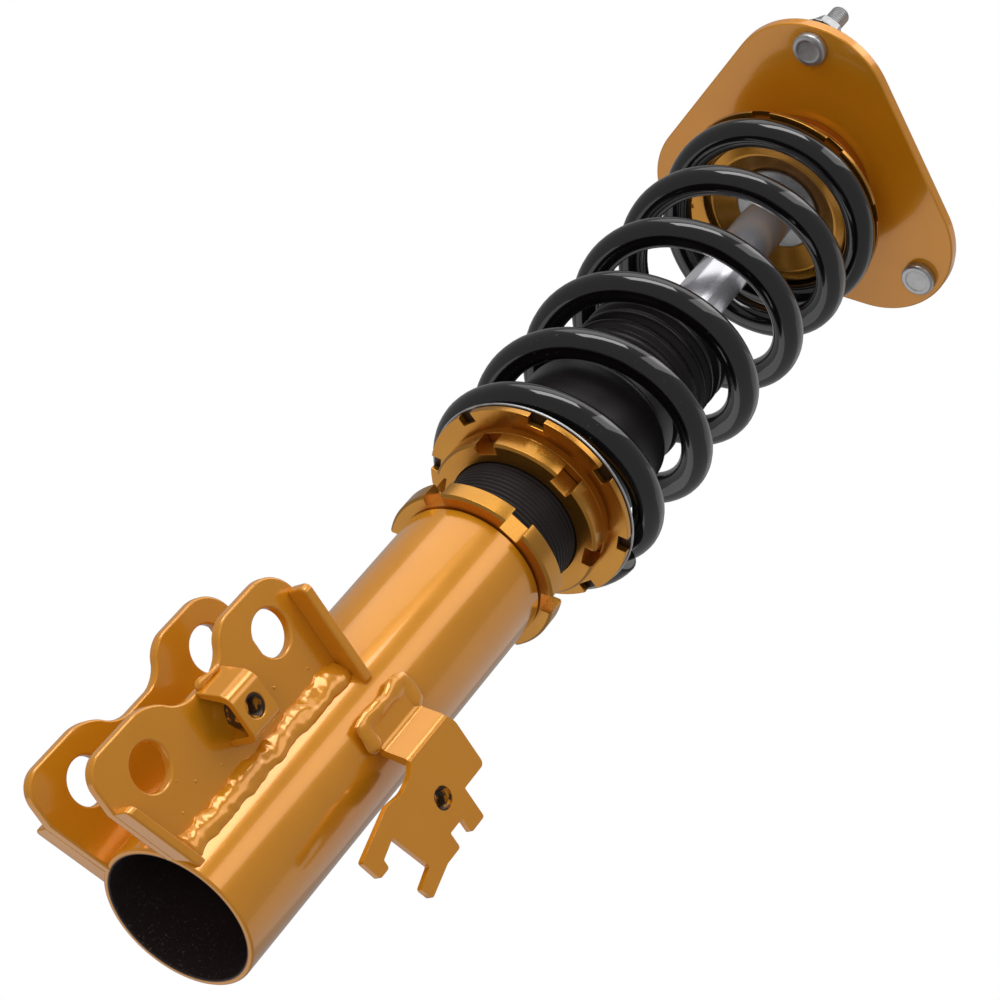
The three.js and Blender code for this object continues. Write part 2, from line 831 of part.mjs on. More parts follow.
function piston() {
  const land = pressureBore - 2 * fitGap;
  const grooveBottom = (pistonHeight - bandHeight) / 2;
  const bore = pistonStudRadius + fitGap;
  const profile = [
    [bore, 0],
    [land, 0],
    [land, grooveBottom],
    [land - bandDepth, grooveBottom],
    [land - bandDepth, grooveBottom + bandHeight],
    [land, grooveBottom + bandHeight],
    [land, pistonHeight],
    [bore, pistonHeight],
  ];
  return revolve(profile, innerSides);
}

function pistonBand() {
  const bore = pressureBore - fitGap - bandDepth;
  return ringSolid(pressureBore - fitGap, bore, bandHeight - 2 * seatGap, innerSides);
}

function hexNut(acrossFlats, height, bore) {
  return cut(hexRod(acrossFlats, height), boreTool(bore, height, innerSides));
}

function upperSeat() {
  const bore = rodStudRadius + fitGap;
  const recess = rodWasherRadius + fitGap;
  const recessTop = rodShoulder + rodWasherThickness + seatGap - seatBottom;
  const blank = revolve([
    [bore, recessTop],
    [recess, recessTop],
    [recess, recessTop - seatRecessDepth],
    [seatConeRadius, -seatHubDepth],
    [perchHubRadius, -seatHubDepth],
    [perchHubRadius, 0],
    [seatRadius, 0],
    [seatRadius, seatFlange],
    [seatRadius - seatShoulderWidth, seatFlange + seatShoulderHeight],
    [seatNeckRadius + seatConeTop, seatFlange + seatConeHeight],
    [seatNeckRadius, seatFlange + seatConeHeight],
    [seatNeckRadius, seatFlange + seatNeckHeight],
    [bore, seatFlange + seatNeckHeight],
  ]);
  const floor = seatRadius - seatNotchDepth;
  const tools = notchTools(rimNotches, seatTurn, seatNotchWidth, floor, seatRadius, 0, seatFlange);
  return cut(blank, ...tools);
}

function makeRod() {
  const pistonBottom = pistonTop - pistonHeight - seatGap;
  const bandBottom = pistonBottom + (pistonHeight - bandHeight) / 2 + seatGap;
  const washerBottom = ballTop + seatGap;
  const nutBottom = washerBottom + topWasherThickness + seatGap;
  const studBore = rodStudRadius + fitGap;
  const reboundStop = ringSolid(reboundStopRadius, rodBore, reboundStopHeight, innerSides);
  const rodWasher = ringSolid(rodWasherRadius, studBore, rodWasherThickness);
  const topWasher = ringSolid(topWasherRadius, studBore, topWasherThickness, innerSides);
  const pistonNut = hexNut(pistonNutAcross, pistonNutHeight, pistonStudRadius + fitGap);
  return body(
    part("piston_rod", pistonRod(), polishedChrome),
    part("rebound_stop", reboundStop, plainSteel, pistonTop + seatGap),
    part("piston", piston(), plainSteel, pistonBottom),
    part("piston_band", pistonBand(), bandPlastic, bandBottom),
    part("piston_nut", pistonNut, plainSteel, pistonBottom - seatGap - pistonNutHeight),
    part("rod_washer", rodWasher, zincPlate, rodShoulder + seatGap),
    part("upper_spring_seat", upperSeat(), goldAnodised, seatBottom),
    part("top_washer", topWasher, zincPlate, washerBottom),
    part("top_nut", hexNut(topNutAcross, topNutHeight, studBore), zincPlate, nutBottom),
  );
}

// Spherical bearing and top plate, each about the ball's centre
function arcProfile(radius, halfHeight, steps) {
  const limit = Math.asin(halfHeight / radius);
  return Array.from({ length: steps + 1 }, (_, i) => {
    const angle = -limit + (2 * limit * i) / steps;
    return [radius * Math.cos(angle), radius * Math.sin(angle)];
  });
}

function bearingBall() {
  const bore = rodStudRadius + fitGap;
  const arc = arcProfile(ballRadius, ballHalfHeight, 8);
  return revolve([[bore, -ballHalfHeight], ...arc, [bore, ballHalfHeight]], innerSides);
}

function bearingRace() {
  const arc = arcProfile(ballRadius + fitGap, raceHalfHeight, 7).reverse();
  return revolve([[raceRadius, -raceHalfHeight], [raceRadius, raceHalfHeight], ...arc], innerSides);
}

function bearingHousing() {
  const bore = raceRadius + fitGap;
  const outer = bore + housingWall;
  const lipTop = -raceHalfHeight - seatGap;
  const grooveBottom = raceHalfHeight;
  const grooveTop = grooveBottom + snapRingThickness + 2 * seatGap;
  const top = grooveTop + housingRim;
  const groove = bore + snapRingWidth / 2 + fitGap;
  const flangeTop = -plateThickness / 2 - seatGap;
  const flangeBottom = flangeTop - housingFlangeThickness;
  return revolve([
    [housingLipBore, lipTop - housingLip],
    [outer, lipTop - housingLip],
    [outer, flangeBottom],
    [housingFlangeRadius, flangeBottom],
    [housingFlangeRadius, flangeTop],
    [outer, flangeTop],
    [outer, top],
    [bore, top],
    [bore, grooveTop],
    [groove, grooveTop],
    [groove, grooveBottom],
    [bore, grooveBottom],
    [bore, lipTop],
    [housingLipBore, lipTop],
  ]);
}

function snapRing() {
  const outer = raceRadius + fitGap + snapRingWidth / 2;
  const halfSlot = THREE.MathUtils.degToRad(snapRingSlot / 2);
  const mouth = outer * Math.sin(halfSlot);
  const blank = ringSolid(outer, outer - snapRingWidth, snapRingThickness);
  const top = snapRingThickness + overshoot;
  return cut(blank, box(0, outer + overshoot, -mouth, mouth, -overshoot, top));
}

// Directions of the plate's corners, each with a stud, in radians
function cornerAngles() {
  const first = THREE.MathUtils.degToRad(plateTurn);
  return Array.from({ length: studCount }, (_, i) => first + (2 * Math.PI * i) / studCount);
}

// The plate's outline: corner arcs joined by straight sides that are tangent to them
function plateShape() {
  const centre = plateReach - plateCornerRadius;
  const halfArc = Math.PI / studCount;
  const shape = new THREE.Shape();
  cornerAngles().forEach((angle) => {
    const x = centre * Math.cos(angle);
    const y = centre * Math.sin(angle);
    shape.absarc(x, y, plateCornerRadius, angle - halfArc, angle + halfArc, false);
  });
  return shape;
}

function studSpots() {
  return cornerAngles().map((angle) => [
    studCircleRadius * Math.cos(angle),
    studCircleRadius * Math.sin(angle),
  ]);
}

function topPlate() {
  const blank = slab(plateShape(), plateThickness, 8);
  const bore = raceRadius + fitGap + housingWall + fitGap;
  const holes = studSpots().map(([x, y]) =>
    boreTool(studRadius + fitGap, plateThickness, smallSides).translate(x, y, 0),
  );
  return cut(blank, boreTool(bore, plateThickness), ...holes);
}

function plateStud() {
  const head = rod(studHeadRadius, studHeadHeight, smallSides);
  const length = studHeadHeight + seatGap + plateThickness + studLength;
  return join(head, rod(studRadius, length, smallSides));
}

function serratedWasher() {
  const outline = Array.from({ length: 2 * serrations }, (_, i) => {
    const radius = serratedRadius - (i % 2) * serrationDepth;
    const angle = (Math.PI * i) / serrations;
    return new THREE.Vector2(radius * Math.cos(angle), radius * Math.sin(angle));
  });
  const blank = slab(new THREE.Shape(outline), serratedThickness);
  return cut(blank, boreTool(studRadius + fitGap, serratedThickness, smallSides));
}

function flangeNut() {
  const flange = rod(nutFlangeRadius, nutFlangeHeight, smallSides);
  const whole = join(flange, hexRod(nutAcross, nutHeight));
  return cut(whole, boreTool(studRadius + fitGap, nutHeight, smallSides));
}

function fastenersAt([x, y], number) {
  const bottom = -plateThickness / 2;
  const top = plateThickness / 2;
  const washerBottom = top + seatGap;
  const nutBottom = washerBottom + serratedThickness + seatGap;
  const headBottom = bottom - seatGap - studHeadHeight;
  const set = body(
    part(`plate_stud_${number}`, plateStud(), zincPlate, headBottom),
    part(`serrated_washer_${number}`, serratedWasher(), blackSteel, washerBottom),
    part(`flange_nut_${number}`, flangeNut(), zincPlate, nutBottom),
  );
  set.position.set(x, y, 0);
  return set;
}

function makeMount() {
  const mount = body(
    part("bearing_race", bearingRace(), plainSteel),
    part("bearing_housing", bearingHousing(), goldAnodised),
    part("snap_ring", snapRing(), blackSteel, raceHalfHeight + seatGap),
    part("top_plate", topPlate(), goldPaint, -plateThickness / 2),
  );
  studSpots().forEach((spot, i) => mount.add(fastenersAt(spot, i + 1)));
  mount.position.z = ballCentre;
  return mount;
}

// Assembly: each group holds what moves together, inside what carries it
const mount = makeMount();
const ball = body(part("bearing_ball", bearingBall(), polishedChrome, ballCentre));
ball.add(mount);

const rodAssembly = makeRod();
rodAssembly.add(ball);

const perchRing = body(part("perch_lock_ring", lockRing(perchRingTurn), goldAnodised, perchRingBottom));
const perch = body(part("spring_perch", springPerch(), goldAnodised, perchBottom));
perch.add(perchRing);

const washerRadius = perchRadius + perchWasherProud;
const perchWasher = ringSolid(washerRadius, perchHubRadius + fitGap, perchWasherThickness);
const springCarrier = body(
  part("perch_washer", perchWasher, zincPlate, perchWasherBottom),
  part("coil_spring", coilSpring(), springPaint, springBottom),
);
springCarrier.add(perch);

const damper = makeDamper();
damper.add(rodAssembly, springCarrier);

const bracketRing = part("bracket_lock_ring", lockRing(bracketRingTurn), goldAnodised, bracketRingBottom);

const coilover = makeBracket();
coilover.add(bracketRing, damper);

export default coilover;
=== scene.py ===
"""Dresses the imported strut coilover: fine shapes, finishes, lights and the photograph's camera."""

import json
import math
from types import SimpleNamespace

import bmesh
import bpy
from bmesh.types import BMEdge, BMVert
from mathutils import Matrix, Vector, noise

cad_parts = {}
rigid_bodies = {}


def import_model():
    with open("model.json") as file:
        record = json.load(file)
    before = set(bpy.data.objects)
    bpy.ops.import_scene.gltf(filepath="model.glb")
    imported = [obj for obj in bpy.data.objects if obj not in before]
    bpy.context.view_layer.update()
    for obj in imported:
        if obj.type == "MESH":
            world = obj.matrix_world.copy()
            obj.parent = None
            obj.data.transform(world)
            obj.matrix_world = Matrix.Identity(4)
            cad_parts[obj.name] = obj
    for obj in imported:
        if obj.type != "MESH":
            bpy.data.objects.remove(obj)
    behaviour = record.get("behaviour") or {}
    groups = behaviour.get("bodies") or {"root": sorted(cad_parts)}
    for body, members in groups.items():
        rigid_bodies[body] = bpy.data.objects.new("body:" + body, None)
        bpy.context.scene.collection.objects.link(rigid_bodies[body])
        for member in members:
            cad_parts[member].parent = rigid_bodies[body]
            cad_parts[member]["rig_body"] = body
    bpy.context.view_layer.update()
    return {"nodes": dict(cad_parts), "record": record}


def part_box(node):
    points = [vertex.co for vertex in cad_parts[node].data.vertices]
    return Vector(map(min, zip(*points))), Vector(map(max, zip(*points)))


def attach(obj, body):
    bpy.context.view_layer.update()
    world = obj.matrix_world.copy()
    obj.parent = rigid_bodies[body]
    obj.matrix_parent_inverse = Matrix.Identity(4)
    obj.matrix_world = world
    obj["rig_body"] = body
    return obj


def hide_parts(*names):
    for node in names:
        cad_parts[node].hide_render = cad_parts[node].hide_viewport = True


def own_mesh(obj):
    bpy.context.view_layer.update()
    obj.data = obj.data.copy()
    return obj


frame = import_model()

bl_info = {
    "name": "Strut Coilover", "version": (1, 0, 0), "blender": (4, 5, 0),
    "location": "View3D > Sidebar > Coilover",
    "description": "Builds the dressed pieces, finishes and stage of a strut coilover",
    "category": "Object",
}

MM = 0.001
TURN = 2 * math.pi
ROUND_STEPS = 128  # sides of a large turned piece
SMALL_STEPS = 48  # sides of a bolt-sized piece
SHARP_ANGLE = math.radians(32)  # faces that meet at more are shaded apart, and may be rounded
BOLT_PITCH = 1.25  # pitch of every thread but the body's
NECK_BORE = 7.3  # bore of what sits on the rod's neck
RUNNING_GAP = 0.3  # between a bore and what goes through it
SAME_POINT = 1e-4  # nearer points of a new shape are one
SEAM_GAP = 2e-3  # nearer points along a cut or joined seam are one
FIRST_ANGLE = math.radians(-24)  # where the spring's wire and the first stud stand round the axis
FLAT_TO_LEVEL = Matrix.Rotation(-math.pi / 2, 4, "X")  # turns the XZ plane into the XY plane
LEVEL_TO_FLAT = Matrix.Rotation(math.pi / 2, 4, "X")
NODES = frame["nodes"]


def low(node):
    """A CAD node's lowest corner, in millimetres."""
    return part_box(node)[0] / MM


def high(node):
    """A CAD node's highest corner, in millimetres."""
    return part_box(node)[1] / MM


def heights(node):
    """A CAD node's lowest and highest z, in millimetres."""
    return low(node).z, high(node).z


# Settings that a user can change


def length(name, description, millimetres):
    """A length whose default is given in millimetres."""
    return bpy.props.FloatProperty(
        name=name, description=description, default=millimetres * MM, min=0.0, unit="LENGTH",
        precision=5,
    )


def colour(name, description, red, green, blue):
    """A linear colour."""
    return bpy.props.FloatVectorProperty(
        name=name, description=description, default=(red, green, blue), size=3, min=0.0, max=1.0,
        subtype="COLOR",
    )


class CoiloverSizes(bpy.types.PropertyGroup):
    """Sizes of the pieces. What meets the CAD part takes its default from there."""

    tube_radius: length("Tube radius", "Outer radius of the bracket tube", high("bracket_tube").x)
    tube_wall: length("Tube wall", "Wall of the bracket tube", 2.5)
    tube_length: length("Tube length", "Length of the bracket tube", high("bracket_tube").z)
    ear_gap: length("Ear gap", "Half the gap between the ears", -high("knuckle_ear_near").y)
    ear_sheet: length("Ear sheet", "Thickness of the ears' sheet", 4.0)
    ear_edge: length("Ear edge", "Rounding of the ears' pressed edges", 0.9)
    bolt_hole: length("Bolt hole", "Radius of the knuckle bolt holes", 8.25)
    bracket_sheet: length("Bracket sheet", "Thickness of the small brackets' sheet", 2.5)
    bracket_edge: length("Bracket edge", "Rounding of the small brackets' edges", 0.45)
    screw_hole: length("Screw hole", "Radius of the threaded holes in the small brackets", 4.2)
    weld_ripple: length("Weld ripple", "Height of the lumps along the weld beads", 0.55)
    ring_radius: length("Ring radius", "Outer radius of the two lock rings", 33.6)
    ring_notch_width: length("Ring notch width", "Width of the lock rings' spanner notches", 8.0)
    ring_notch_depth: length("Ring notch depth", "Depth of the lock rings' spanner notches", 4.6)
    ring_chamfer: length("Ring chamfer", "Chamfer on the rings' rims", 0.9)
    body_radius: length("Body radius", "Outer radius of the body's thread", high("damper_body").x)
    body_thread: length("Body thread", "Pitch of the damper body's thread", 2.0)
    perch_radius: length("Perch radius", "Outer radius of the spring perch", high("spring_perch").x)
    rim_notch_width: length("Rim notch width", "Width of the perch's spanner notches", 6.2)
    rim_notch_depth: length("Rim notch depth", "Depth of the perch's spanner notches", 4.1)
    wire_radius: length("Wire radius", "Radius of the spring's wire", 6.0)
    spring_radius: length("Spring radius", "Radius of the spring at the middle of its wire", 39.3)
    boot_rib: length("Boot rib", "Depth of the dust boot's ribs", 2.1)
    rod_radius: length("Rod radius", "Radius of the chromed rod", 10.0)
    seat_radius: length("Seat radius", "Outer radius of the upper spring seat", 44.0)
    plate_edge: length("Plate edge", "Rounding of the top plate's edges", 0.8)
    stud_circle: length("Stud circle", "Radius of the circle of the three studs", 63.6)
    stud_radius: length("Stud radius", "Radius of the top studs", 4.0)
    stud_head: length("Stud head", "Radius of the stud heads", 7.2)


class CoiloverColours(bpy.types.PropertyGroup):
    """Colours of the finishes."""

    paint: colour("Paint", "Gold-orange paint of the bracket and the top plate", 0.71, 0.283, 0.011)
    paint_shade: colour("Paint shade", "The paint where its coat is thick", 0.60, 0.226, 0.006)
    tube_lining: colour("Tube lining", "Dark coating inside the bracket tube", 0.017, 0.010, 0.009)
    anodised: colour("Anodised", "Gold anodising of the rings, perch and seat", 0.62, 0.288, 0.042)
    anodised_shade: colour("Anodised shade", "The anodising where it is deeper", 0.45, 0.19, 0.023)
    spring: colour("Spring", "Black coat of the coil spring", 0.003, 0.002, 0.0025)
    black_steel: colour("Black steel", "Black oxide on the threaded body", 0.010, 0.007, 0.007)
    rubber: colour("Rubber", "Black rubber of the dust boot", 0.009, 0.007, 0.008)
    chrome: colour("Chrome", "Hard chrome of the rod and the ball", 0.78, 0.78, 0.82)
    zinc: colour("Zinc", "Zinc plating of studs, nuts and washers", 0.70, 0.69, 0.68)
    steel: colour("Steel", "Bare turned steel inside the damper", 0.36, 0.37, 0.38)
    seal: colour("Seal", "Nitrile of the oil seal", 0.030, 0.020, 0.015)
    foam: colour("Foam", "Cellular foam of the bump stop", 0.55, 0.43, 0.12)
    band: colour("Band", "Filled plastic of the piston band", 0.08, 0.11, 0.09)
    floor: colour("Floor", "Studio floor", 0.86, 0.86, 0.86)


def settings(context):
    """All sizes in millimetres under their own names."""
    group = context.scene.coilover_sizes
    keys = CoiloverSizes.__annotations__
    return SimpleNamespace(**{key: getattr(group, key) / MM for key in keys})


# Shapes, in millimetres


def bevelled(bm, geom, width, segments, affect):
    """Rounds corners (VERTICES) or edges (EDGES)."""
    bmesh.ops.bevel(
        bm, geom=geom, offset=width, offset_type="OFFSET", segments=segments, profile=0.5,
        affect=affect, clamp_overlap=affect == "EDGES", material=-1,
    )


def outline(points):
    """A flat face in the XZ plane from (across, up) or (across, up, corner rounding) points."""
    bm = bmesh.new()
    verts = [bm.verts.new((point[0], 0.0, point[1])) for point in points]
    bm.faces.new(verts)
    corners = {}
    for vert, point in zip(verts, points):
        if len(point) > 2:
            corners.setdefault(point[2], []).append(vert)
    for rounding, group in corners.items():
        steps = max(3, min(12, round(2 + rounding)))
        bevelled(bm, group, rounding, steps, "VERTICES")
    return bm


def bare_edges(bm):
    """Takes the faces out of a shape and leaves its outline."""
    bmesh.ops.delete(bm, geom=bm.faces[:], context="FACES_KEEP_BOUNDARY")


def round_the_axis(angle):
    """A level direction at an angle round the strut's axis."""
    return Vector((math.cos(angle), math.sin(angle), 0))


def of_kind(items, kind):
    """The vertices or the edges among what an operator made."""
    return [item for item in items if isinstance(item, kind)]


def spun(bm, geom, angle, steps, centre=(0, 0, 0)):
    """Spins geometry about an upright axis and gives what the last step made."""
    made = bmesh.ops.spin(
        bm, geom=geom, cent=centre, axis=(0, 0, 1), angle=angle, steps=steps,
        use_merge=angle == TURN,
    )
    return made["geom_last"]


def closed_up(bm):
    """Merges doubles and turns every face outwards."""
    bmesh.ops.remove_doubles(bm, verts=bm.verts[:], dist=SAME_POINT)
    bmesh.ops.recalc_face_normals(bm, faces=bm.faces[:])
    return bm


def turned(profile, steps=ROUND_STEPS):
    """A solid turned about the strut's axis from a closed profile of (radius, height, rounding)."""
    bm = outline(profile)
    bare_edges(bm)
    on_axis = [edge for edge in bm.edges if all(abs(vert.co.x) < 1e-6 for vert in edge.verts)]
    bmesh.ops.delete(bm, geom=on_axis, context="EDGES")
    spun(bm, bm.verts[:] + bm.edges[:], TURN, steps)
    return closed_up(bm)


def square_section(inner, outer, ends, inner_rounding, outer_rounding):
    """Profile of a plain ring between two heights."""
    bottom, top = ends
    return [
        (inner, bottom, inner_rounding), (outer, bottom, outer_rounding),
        (outer, top, outer_rounding), (inner, top, inner_rounding),
    ]


def filled(bm):
    """Fills an outline that has holes in it."""
    bmesh.ops.triangle_fill(bm, edges=bm.edges[:], use_beauty=True, use_dissolve=False)
    return bm


def pierced(points, holes, steps=SMALL_STEPS):
    """A flat outline in the XZ plane with round holes of (across, up, radius)."""
    bm = outline(points)
    bare_edges(bm)
    for across, up, radius in holes:
        place = Matrix.Translation((across, 0, up)) @ LEVEL_TO_FLAT
        bmesh.ops.create_circle(bm, cap_ends=False, segments=steps, radius=radius, matrix=place)
    return filled(bm)


def thickened(bm, push):
    """Extrudes a flat shape by a vector and closes it."""
    made = bmesh.ops.extrude_face_region(bm, geom=bm.faces[:])
    bmesh.ops.translate(bm, verts=of_kind(made["geom"], BMVert), vec=push)
    return closed_up(bm)


def moved(bm, place):
    """Places a shape with a matrix."""
    bmesh.ops.transform(bm, matrix=place, verts=bm.verts[:])
    return bm


def upright(bm, y_from, y_to):
    """A flat XZ shape made a sheet between two depths."""
    return moved(thickened(bm, (0, y_to - y_from, 0)), Matrix.Translation((0, y_from, 0)))


def raised(bm, z_from, z_to):
    """A level shape made a sheet between two heights."""
    return moved(thickened(bm, (0, 0, z_to - z_from)), Matrix.Translation((0, 0, z_from)))


def level(bm, z_from, z_to):
    """A flat XZ shape laid in the XY plane and made a sheet between two heights."""
    return raised(moved(bm, FLAT_TO_LEVEL), z_from, z_to)


def sharp_edges(bm, wanted=lambda edge: True):
    """Edges between faces that meet at a clear angle."""
    return [
        edge
        for edge in bm.edges
        if edge.is_manifold and edge.calc_face_angle(0.0) > SHARP_ANGLE and wanted(edge)
    ]


def softened(bm, width, segments=3, wanted=lambda edge: True):
    """Rounds the sharp edges of a shape."""
    bevelled(bm, sharp_edges(bm, wanted), width, segments, "EDGES")
    return bm


def as_mesh(bm, name):
    """Ends a shape's making and gives its mesh."""
    mesh = bpy.data.meshes.new(name)
    bm.to_mesh(mesh)
    bm.free()
    return mesh


def linked(name, data):
    """A new object of the scene."""
    item = bpy.data.objects.new(name, data)
    bpy.context.scene.collection.objects.link(item)
    return item


def together(*shapes):
    """Several closed shapes as one, each kept whole."""
    whole = bmesh.new()
    for shape in shapes:
        mesh = as_mesh(shape, "share")
        whole.from_mesh(mesh)
        bpy.data.meshes.remove(mesh)
    return whole


def combined(bm, tool, operation):
    """Joins a tool to a shape (UNION) or cuts it out (DIFFERENCE), and tidies flat faces."""
    blank = linked("blank", as_mesh(bm, "blank"))
    cutter = linked("cutter", as_mesh(tool, "cutter"))
    modifier = blank.modifiers.new("combine", "BOOLEAN")
    modifier.operation = operation
    modifier.solver = "EXACT"
    modifier.object = cutter
    graph = bpy.context.evaluated_depsgraph_get()
    mesh = bpy.data.meshes.new_from_object(blank.evaluated_get(graph))
    result = bmesh.new()
    result.from_mesh(mesh)
    for item in (blank, cutter):
        old = item.data
        bpy.data.objects.remove(item)
        bpy.data.meshes.remove(old)
    bpy.data.meshes.remove(mesh)
    bmesh.ops.remove_doubles(result, verts=result.verts[:], dist=SEAM_GAP)
    bmesh.ops.dissolve_limit(
        result, angle_limit=math.radians(0.4), verts=result.verts[:], edges=result.edges[:],
    )
    return result


def cross_rod(across, up, radius, y_from, y_to):
    """A cutting rod along Y."""
    bm = bmesh.new()
    place = Matrix.Translation((across, (y_from + y_to) / 2, up)) @ LEVEL_TO_FLAT
    bmesh.ops.create_cone(
        bm, cap_ends=True, segments=SMALL_STEPS, radius1=radius, radius2=radius,
        depth=y_to - y_from, matrix=place,
    )
    return bm


def ridges(radius, start, end, pitch, depth):
    """Profile points of a thread between two heights. A negative depth makes an inner thread."""
    count = int(abs(end - start) / pitch)
    step = math.copysign(pitch, end - start)
    points = []
    for turn in range(count):
        at = start + turn * step
        points += [(radius - depth, at), (radius, at + 0.38 * step), (radius, at + 0.62 * step)]
    return points


def closed_round(bm, stretches):
    """Joins the end of each stretch (start, end) of an outline to the start of the next."""
    for number, (start, _end) in enumerate(stretches):
        bm.edges.new((stretches[number - 1][1], start))
    return bm


def notched_outline(radius, notches, turn, width, depth):
    """Outline, in the XY plane, of a disc with square notches in its rim."""
    bm = bmesh.new()
    half = width / 2
    reach = math.sqrt(radius * radius - half * half)
    arc = TURN / notches - 2 * math.asin(half / radius)
    stretches = []
    for number in range(notches):
        here = Matrix.Rotation(math.radians(turn) + number * TURN / notches, 4, "Z")
        ahead = Matrix.Rotation(math.radians(turn) + (number + 1) * TURN / notches, 4, "Z")
        floor = bm.verts.new(here @ Vector((radius - depth, half, 0)))
        rim = bm.verts.new(here @ Vector((reach, half, 0)))
        bm.edges.new((floor, rim))
        last = of_kind(spun(bm, [rim], arc, ROUND_STEPS // notches), BMVert)[0]
        end = bm.verts.new(ahead @ Vector((radius - depth, -half, 0)))
        bm.edges.new((last, end))
        stretches.append((floor, end))
    return closed_round(bm, stretches)


def notched_disc(radius, bore, z_from, z_to, notches, turn, width, depth):
    """A flat ring with square notches in its rim."""
    bm = notched_outline(radius, notches, turn, width, depth)
    bmesh.ops.create_circle(bm, cap_ends=False, segments=96, radius=bore)
    return raised(filled(bm), z_from, z_to)


def hexagon(profile, across):
    """A turned profile with six flats planed on it."""
    bm = turned(profile, SMALL_STEPS)
    for side in range(6):
        outwards = round_the_axis(side * TURN / 6)
        made = bmesh.ops.bisect_plane(
            bm, geom=bm.verts[:] + bm.edges[:] + bm.faces[:], plane_co=outwards * across / 2,
            plane_no=outwards, clear_outer=True,
        )
        bmesh.ops.contextual_create(bm, geom=of_kind(made["geom_cut"], BMEdge))
    return closed_up(bm)


def hexagon_nut(across, z_from, z_to, bore, rounding):
    """A chamfered, threaded hexagon nut."""
    corner = across / math.sqrt(3)
    face = across / 2 - 0.3
    drop = (corner - face) * math.tan(math.radians(30))
    mouth = bore + 0.7
    profile = [
        (mouth, z_from), (face, z_from), (corner, z_from + drop), (corner, z_to - drop),
        (face, z_to), (mouth, z_to), *ridges(bore, z_to - 0.6, z_from + 0.6, BOLT_PITCH, -0.45),
    ]
    return softened(hexagon(profile, across), rounding, 2)


def frame_of(*axes):
    """A matrix from its three axes."""
    return Matrix([[axis[row] for axis in axes] for row in range(3)]).to_4x4()


def swept(places, sides):
    """Draws a unit circle through a row of matrices and closes both ends."""
    bm = bmesh.new()
    made = bmesh.ops.create_circle(bm, cap_ends=True, segments=sides, radius=1.0, matrix=places[0])
    edges = list({edge for vert in made["verts"] for edge in vert.link_edges})
    for before, after in zip(places, places[1:]):
        made = bmesh.ops.extrude_edge_only(bm, edges=edges)
        verts = of_kind(made["geom"], BMVert)
        edges = of_kind(made["geom"], BMEdge)
        edges = [edge for edge in edges if all(vert in verts for vert in edge.verts)]
        bmesh.ops.transform(bm, matrix=after @ before.inverted(), verts=verts)
    bmesh.ops.contextual_create(bm, geom=edges)
    return closed_up(bm)


def bead_places(points, wide, tall, outwards):
    """Matrices for a weld bead along points: its ends taper, and its middle swells unevenly."""
    taper = 3
    places = []
    last = len(points) - 1
    for number, point in enumerate(points):
        ahead = points[min(number + 1, last)] - points[max(number - 1, 0)]
        along = ahead.normalized()
        side = outwards.cross(along).normalized()
        up = along.cross(side)
        ease = min(1.0, (number + 0.4) / taper, (last - number + 0.4) / taper)
        swell = math.sqrt(1 - (1 - ease) ** 2)
        spread = swell * (1 + 0.35 * noise.noise(point * 0.13))
        height = swell * (1 + 0.25 * noise.noise(point * 0.15 + Vector((5, 1, 8))))
        section = frame_of(side * wide * spread, up * tall * height, along)
        places.append(Matrix.Translation(point) @ section)
    return places


def weld_bead(points, wide, tall, outwards, ripple, sides):
    """A weld bead along points, with uneven lumps."""
    bm = swept(bead_places(points, wide, tall, outwards), sides)
    bm.normal_update()
    for vert in bm.verts:
        coarse = noise.noise(vert.co * 0.13)
        middle = noise.noise(vert.co * 0.4 + Vector((9, 2, 5)))
        fine = noise.noise(vert.co * 1.1 + Vector((31, 7, 3)))
        vert.co += vert.normal * ripple * (1.5 * coarse + 0.55 * middle + 0.06 * fine)
    bm.normal_update()
    return bm


def line_points(start, end, step):
    """Points along a straight line, with a slight hand-made waver."""
    start, end = Vector(start), Vector(end)
    count = max(4, int((end - start).length / step))
    points = [start.lerp(end, number / count) for number in range(count + 1)]
    return [
        point + Vector((noise.noise(point * 0.11), noise.noise(point * 0.13), 0)) * 0.5
        for point in points
    ]


def droplets(spots):
    """Small flattened drops of weld spatter."""
    bm = bmesh.new()
    for number, spot in enumerate(spots):
        radius = 0.38 + 0.12 * (number % 3)
        flattened = Matrix.Translation(spot) @ Matrix.Diagonal((radius, radius * 0.6, radius, 1))
        bmesh.ops.create_icosphere(bm, subdivisions=2, radius=1, matrix=flattened)
    return bm


def add_piece(bm, name, finish, node, weighted=True):
    """Makes a shape a piece of the scene: it rides where its CAD node rides, and stands for it.

    Its material is the finish of that name.
    """
    moved(bm, Matrix.Scale(MM, 4))
    for face in bm.faces:
        face.smooth = True
    for edge in bm.edges:
        edge.smooth = edge.calc_face_angle(0.0) < SHARP_ANGLE
    mesh = as_mesh(bm, name)
    mesh.materials.append(bpy.data.materials[finish])
    piece = linked(name, mesh)
    if weighted:
        modifier = piece.modifiers.new("weighted_normals", "WEIGHTED_NORMAL")
        modifier.keep_sharp = True
    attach(piece, NODES[node]["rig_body"])
    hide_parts(node)
    return piece


# Finishes


class Number:
    """A value in a finish's graph. An expression on it adds its Math nodes."""

    def __init__(self, graph, socket):
        self.graph = graph
        self.socket = socket

    def __add__(self, other):
        return self.graph.math("ADD", self, other)

    def __sub__(self, other):
        return self.graph.math("SUBTRACT", self, other)

    def __rsub__(self, other):
        return self.graph.math("SUBTRACT", other, self)

    def __mul__(self, other):
        return self.graph.math("MULTIPLY", self, other)

    __radd__ = __add__
    __rmul__ = __mul__


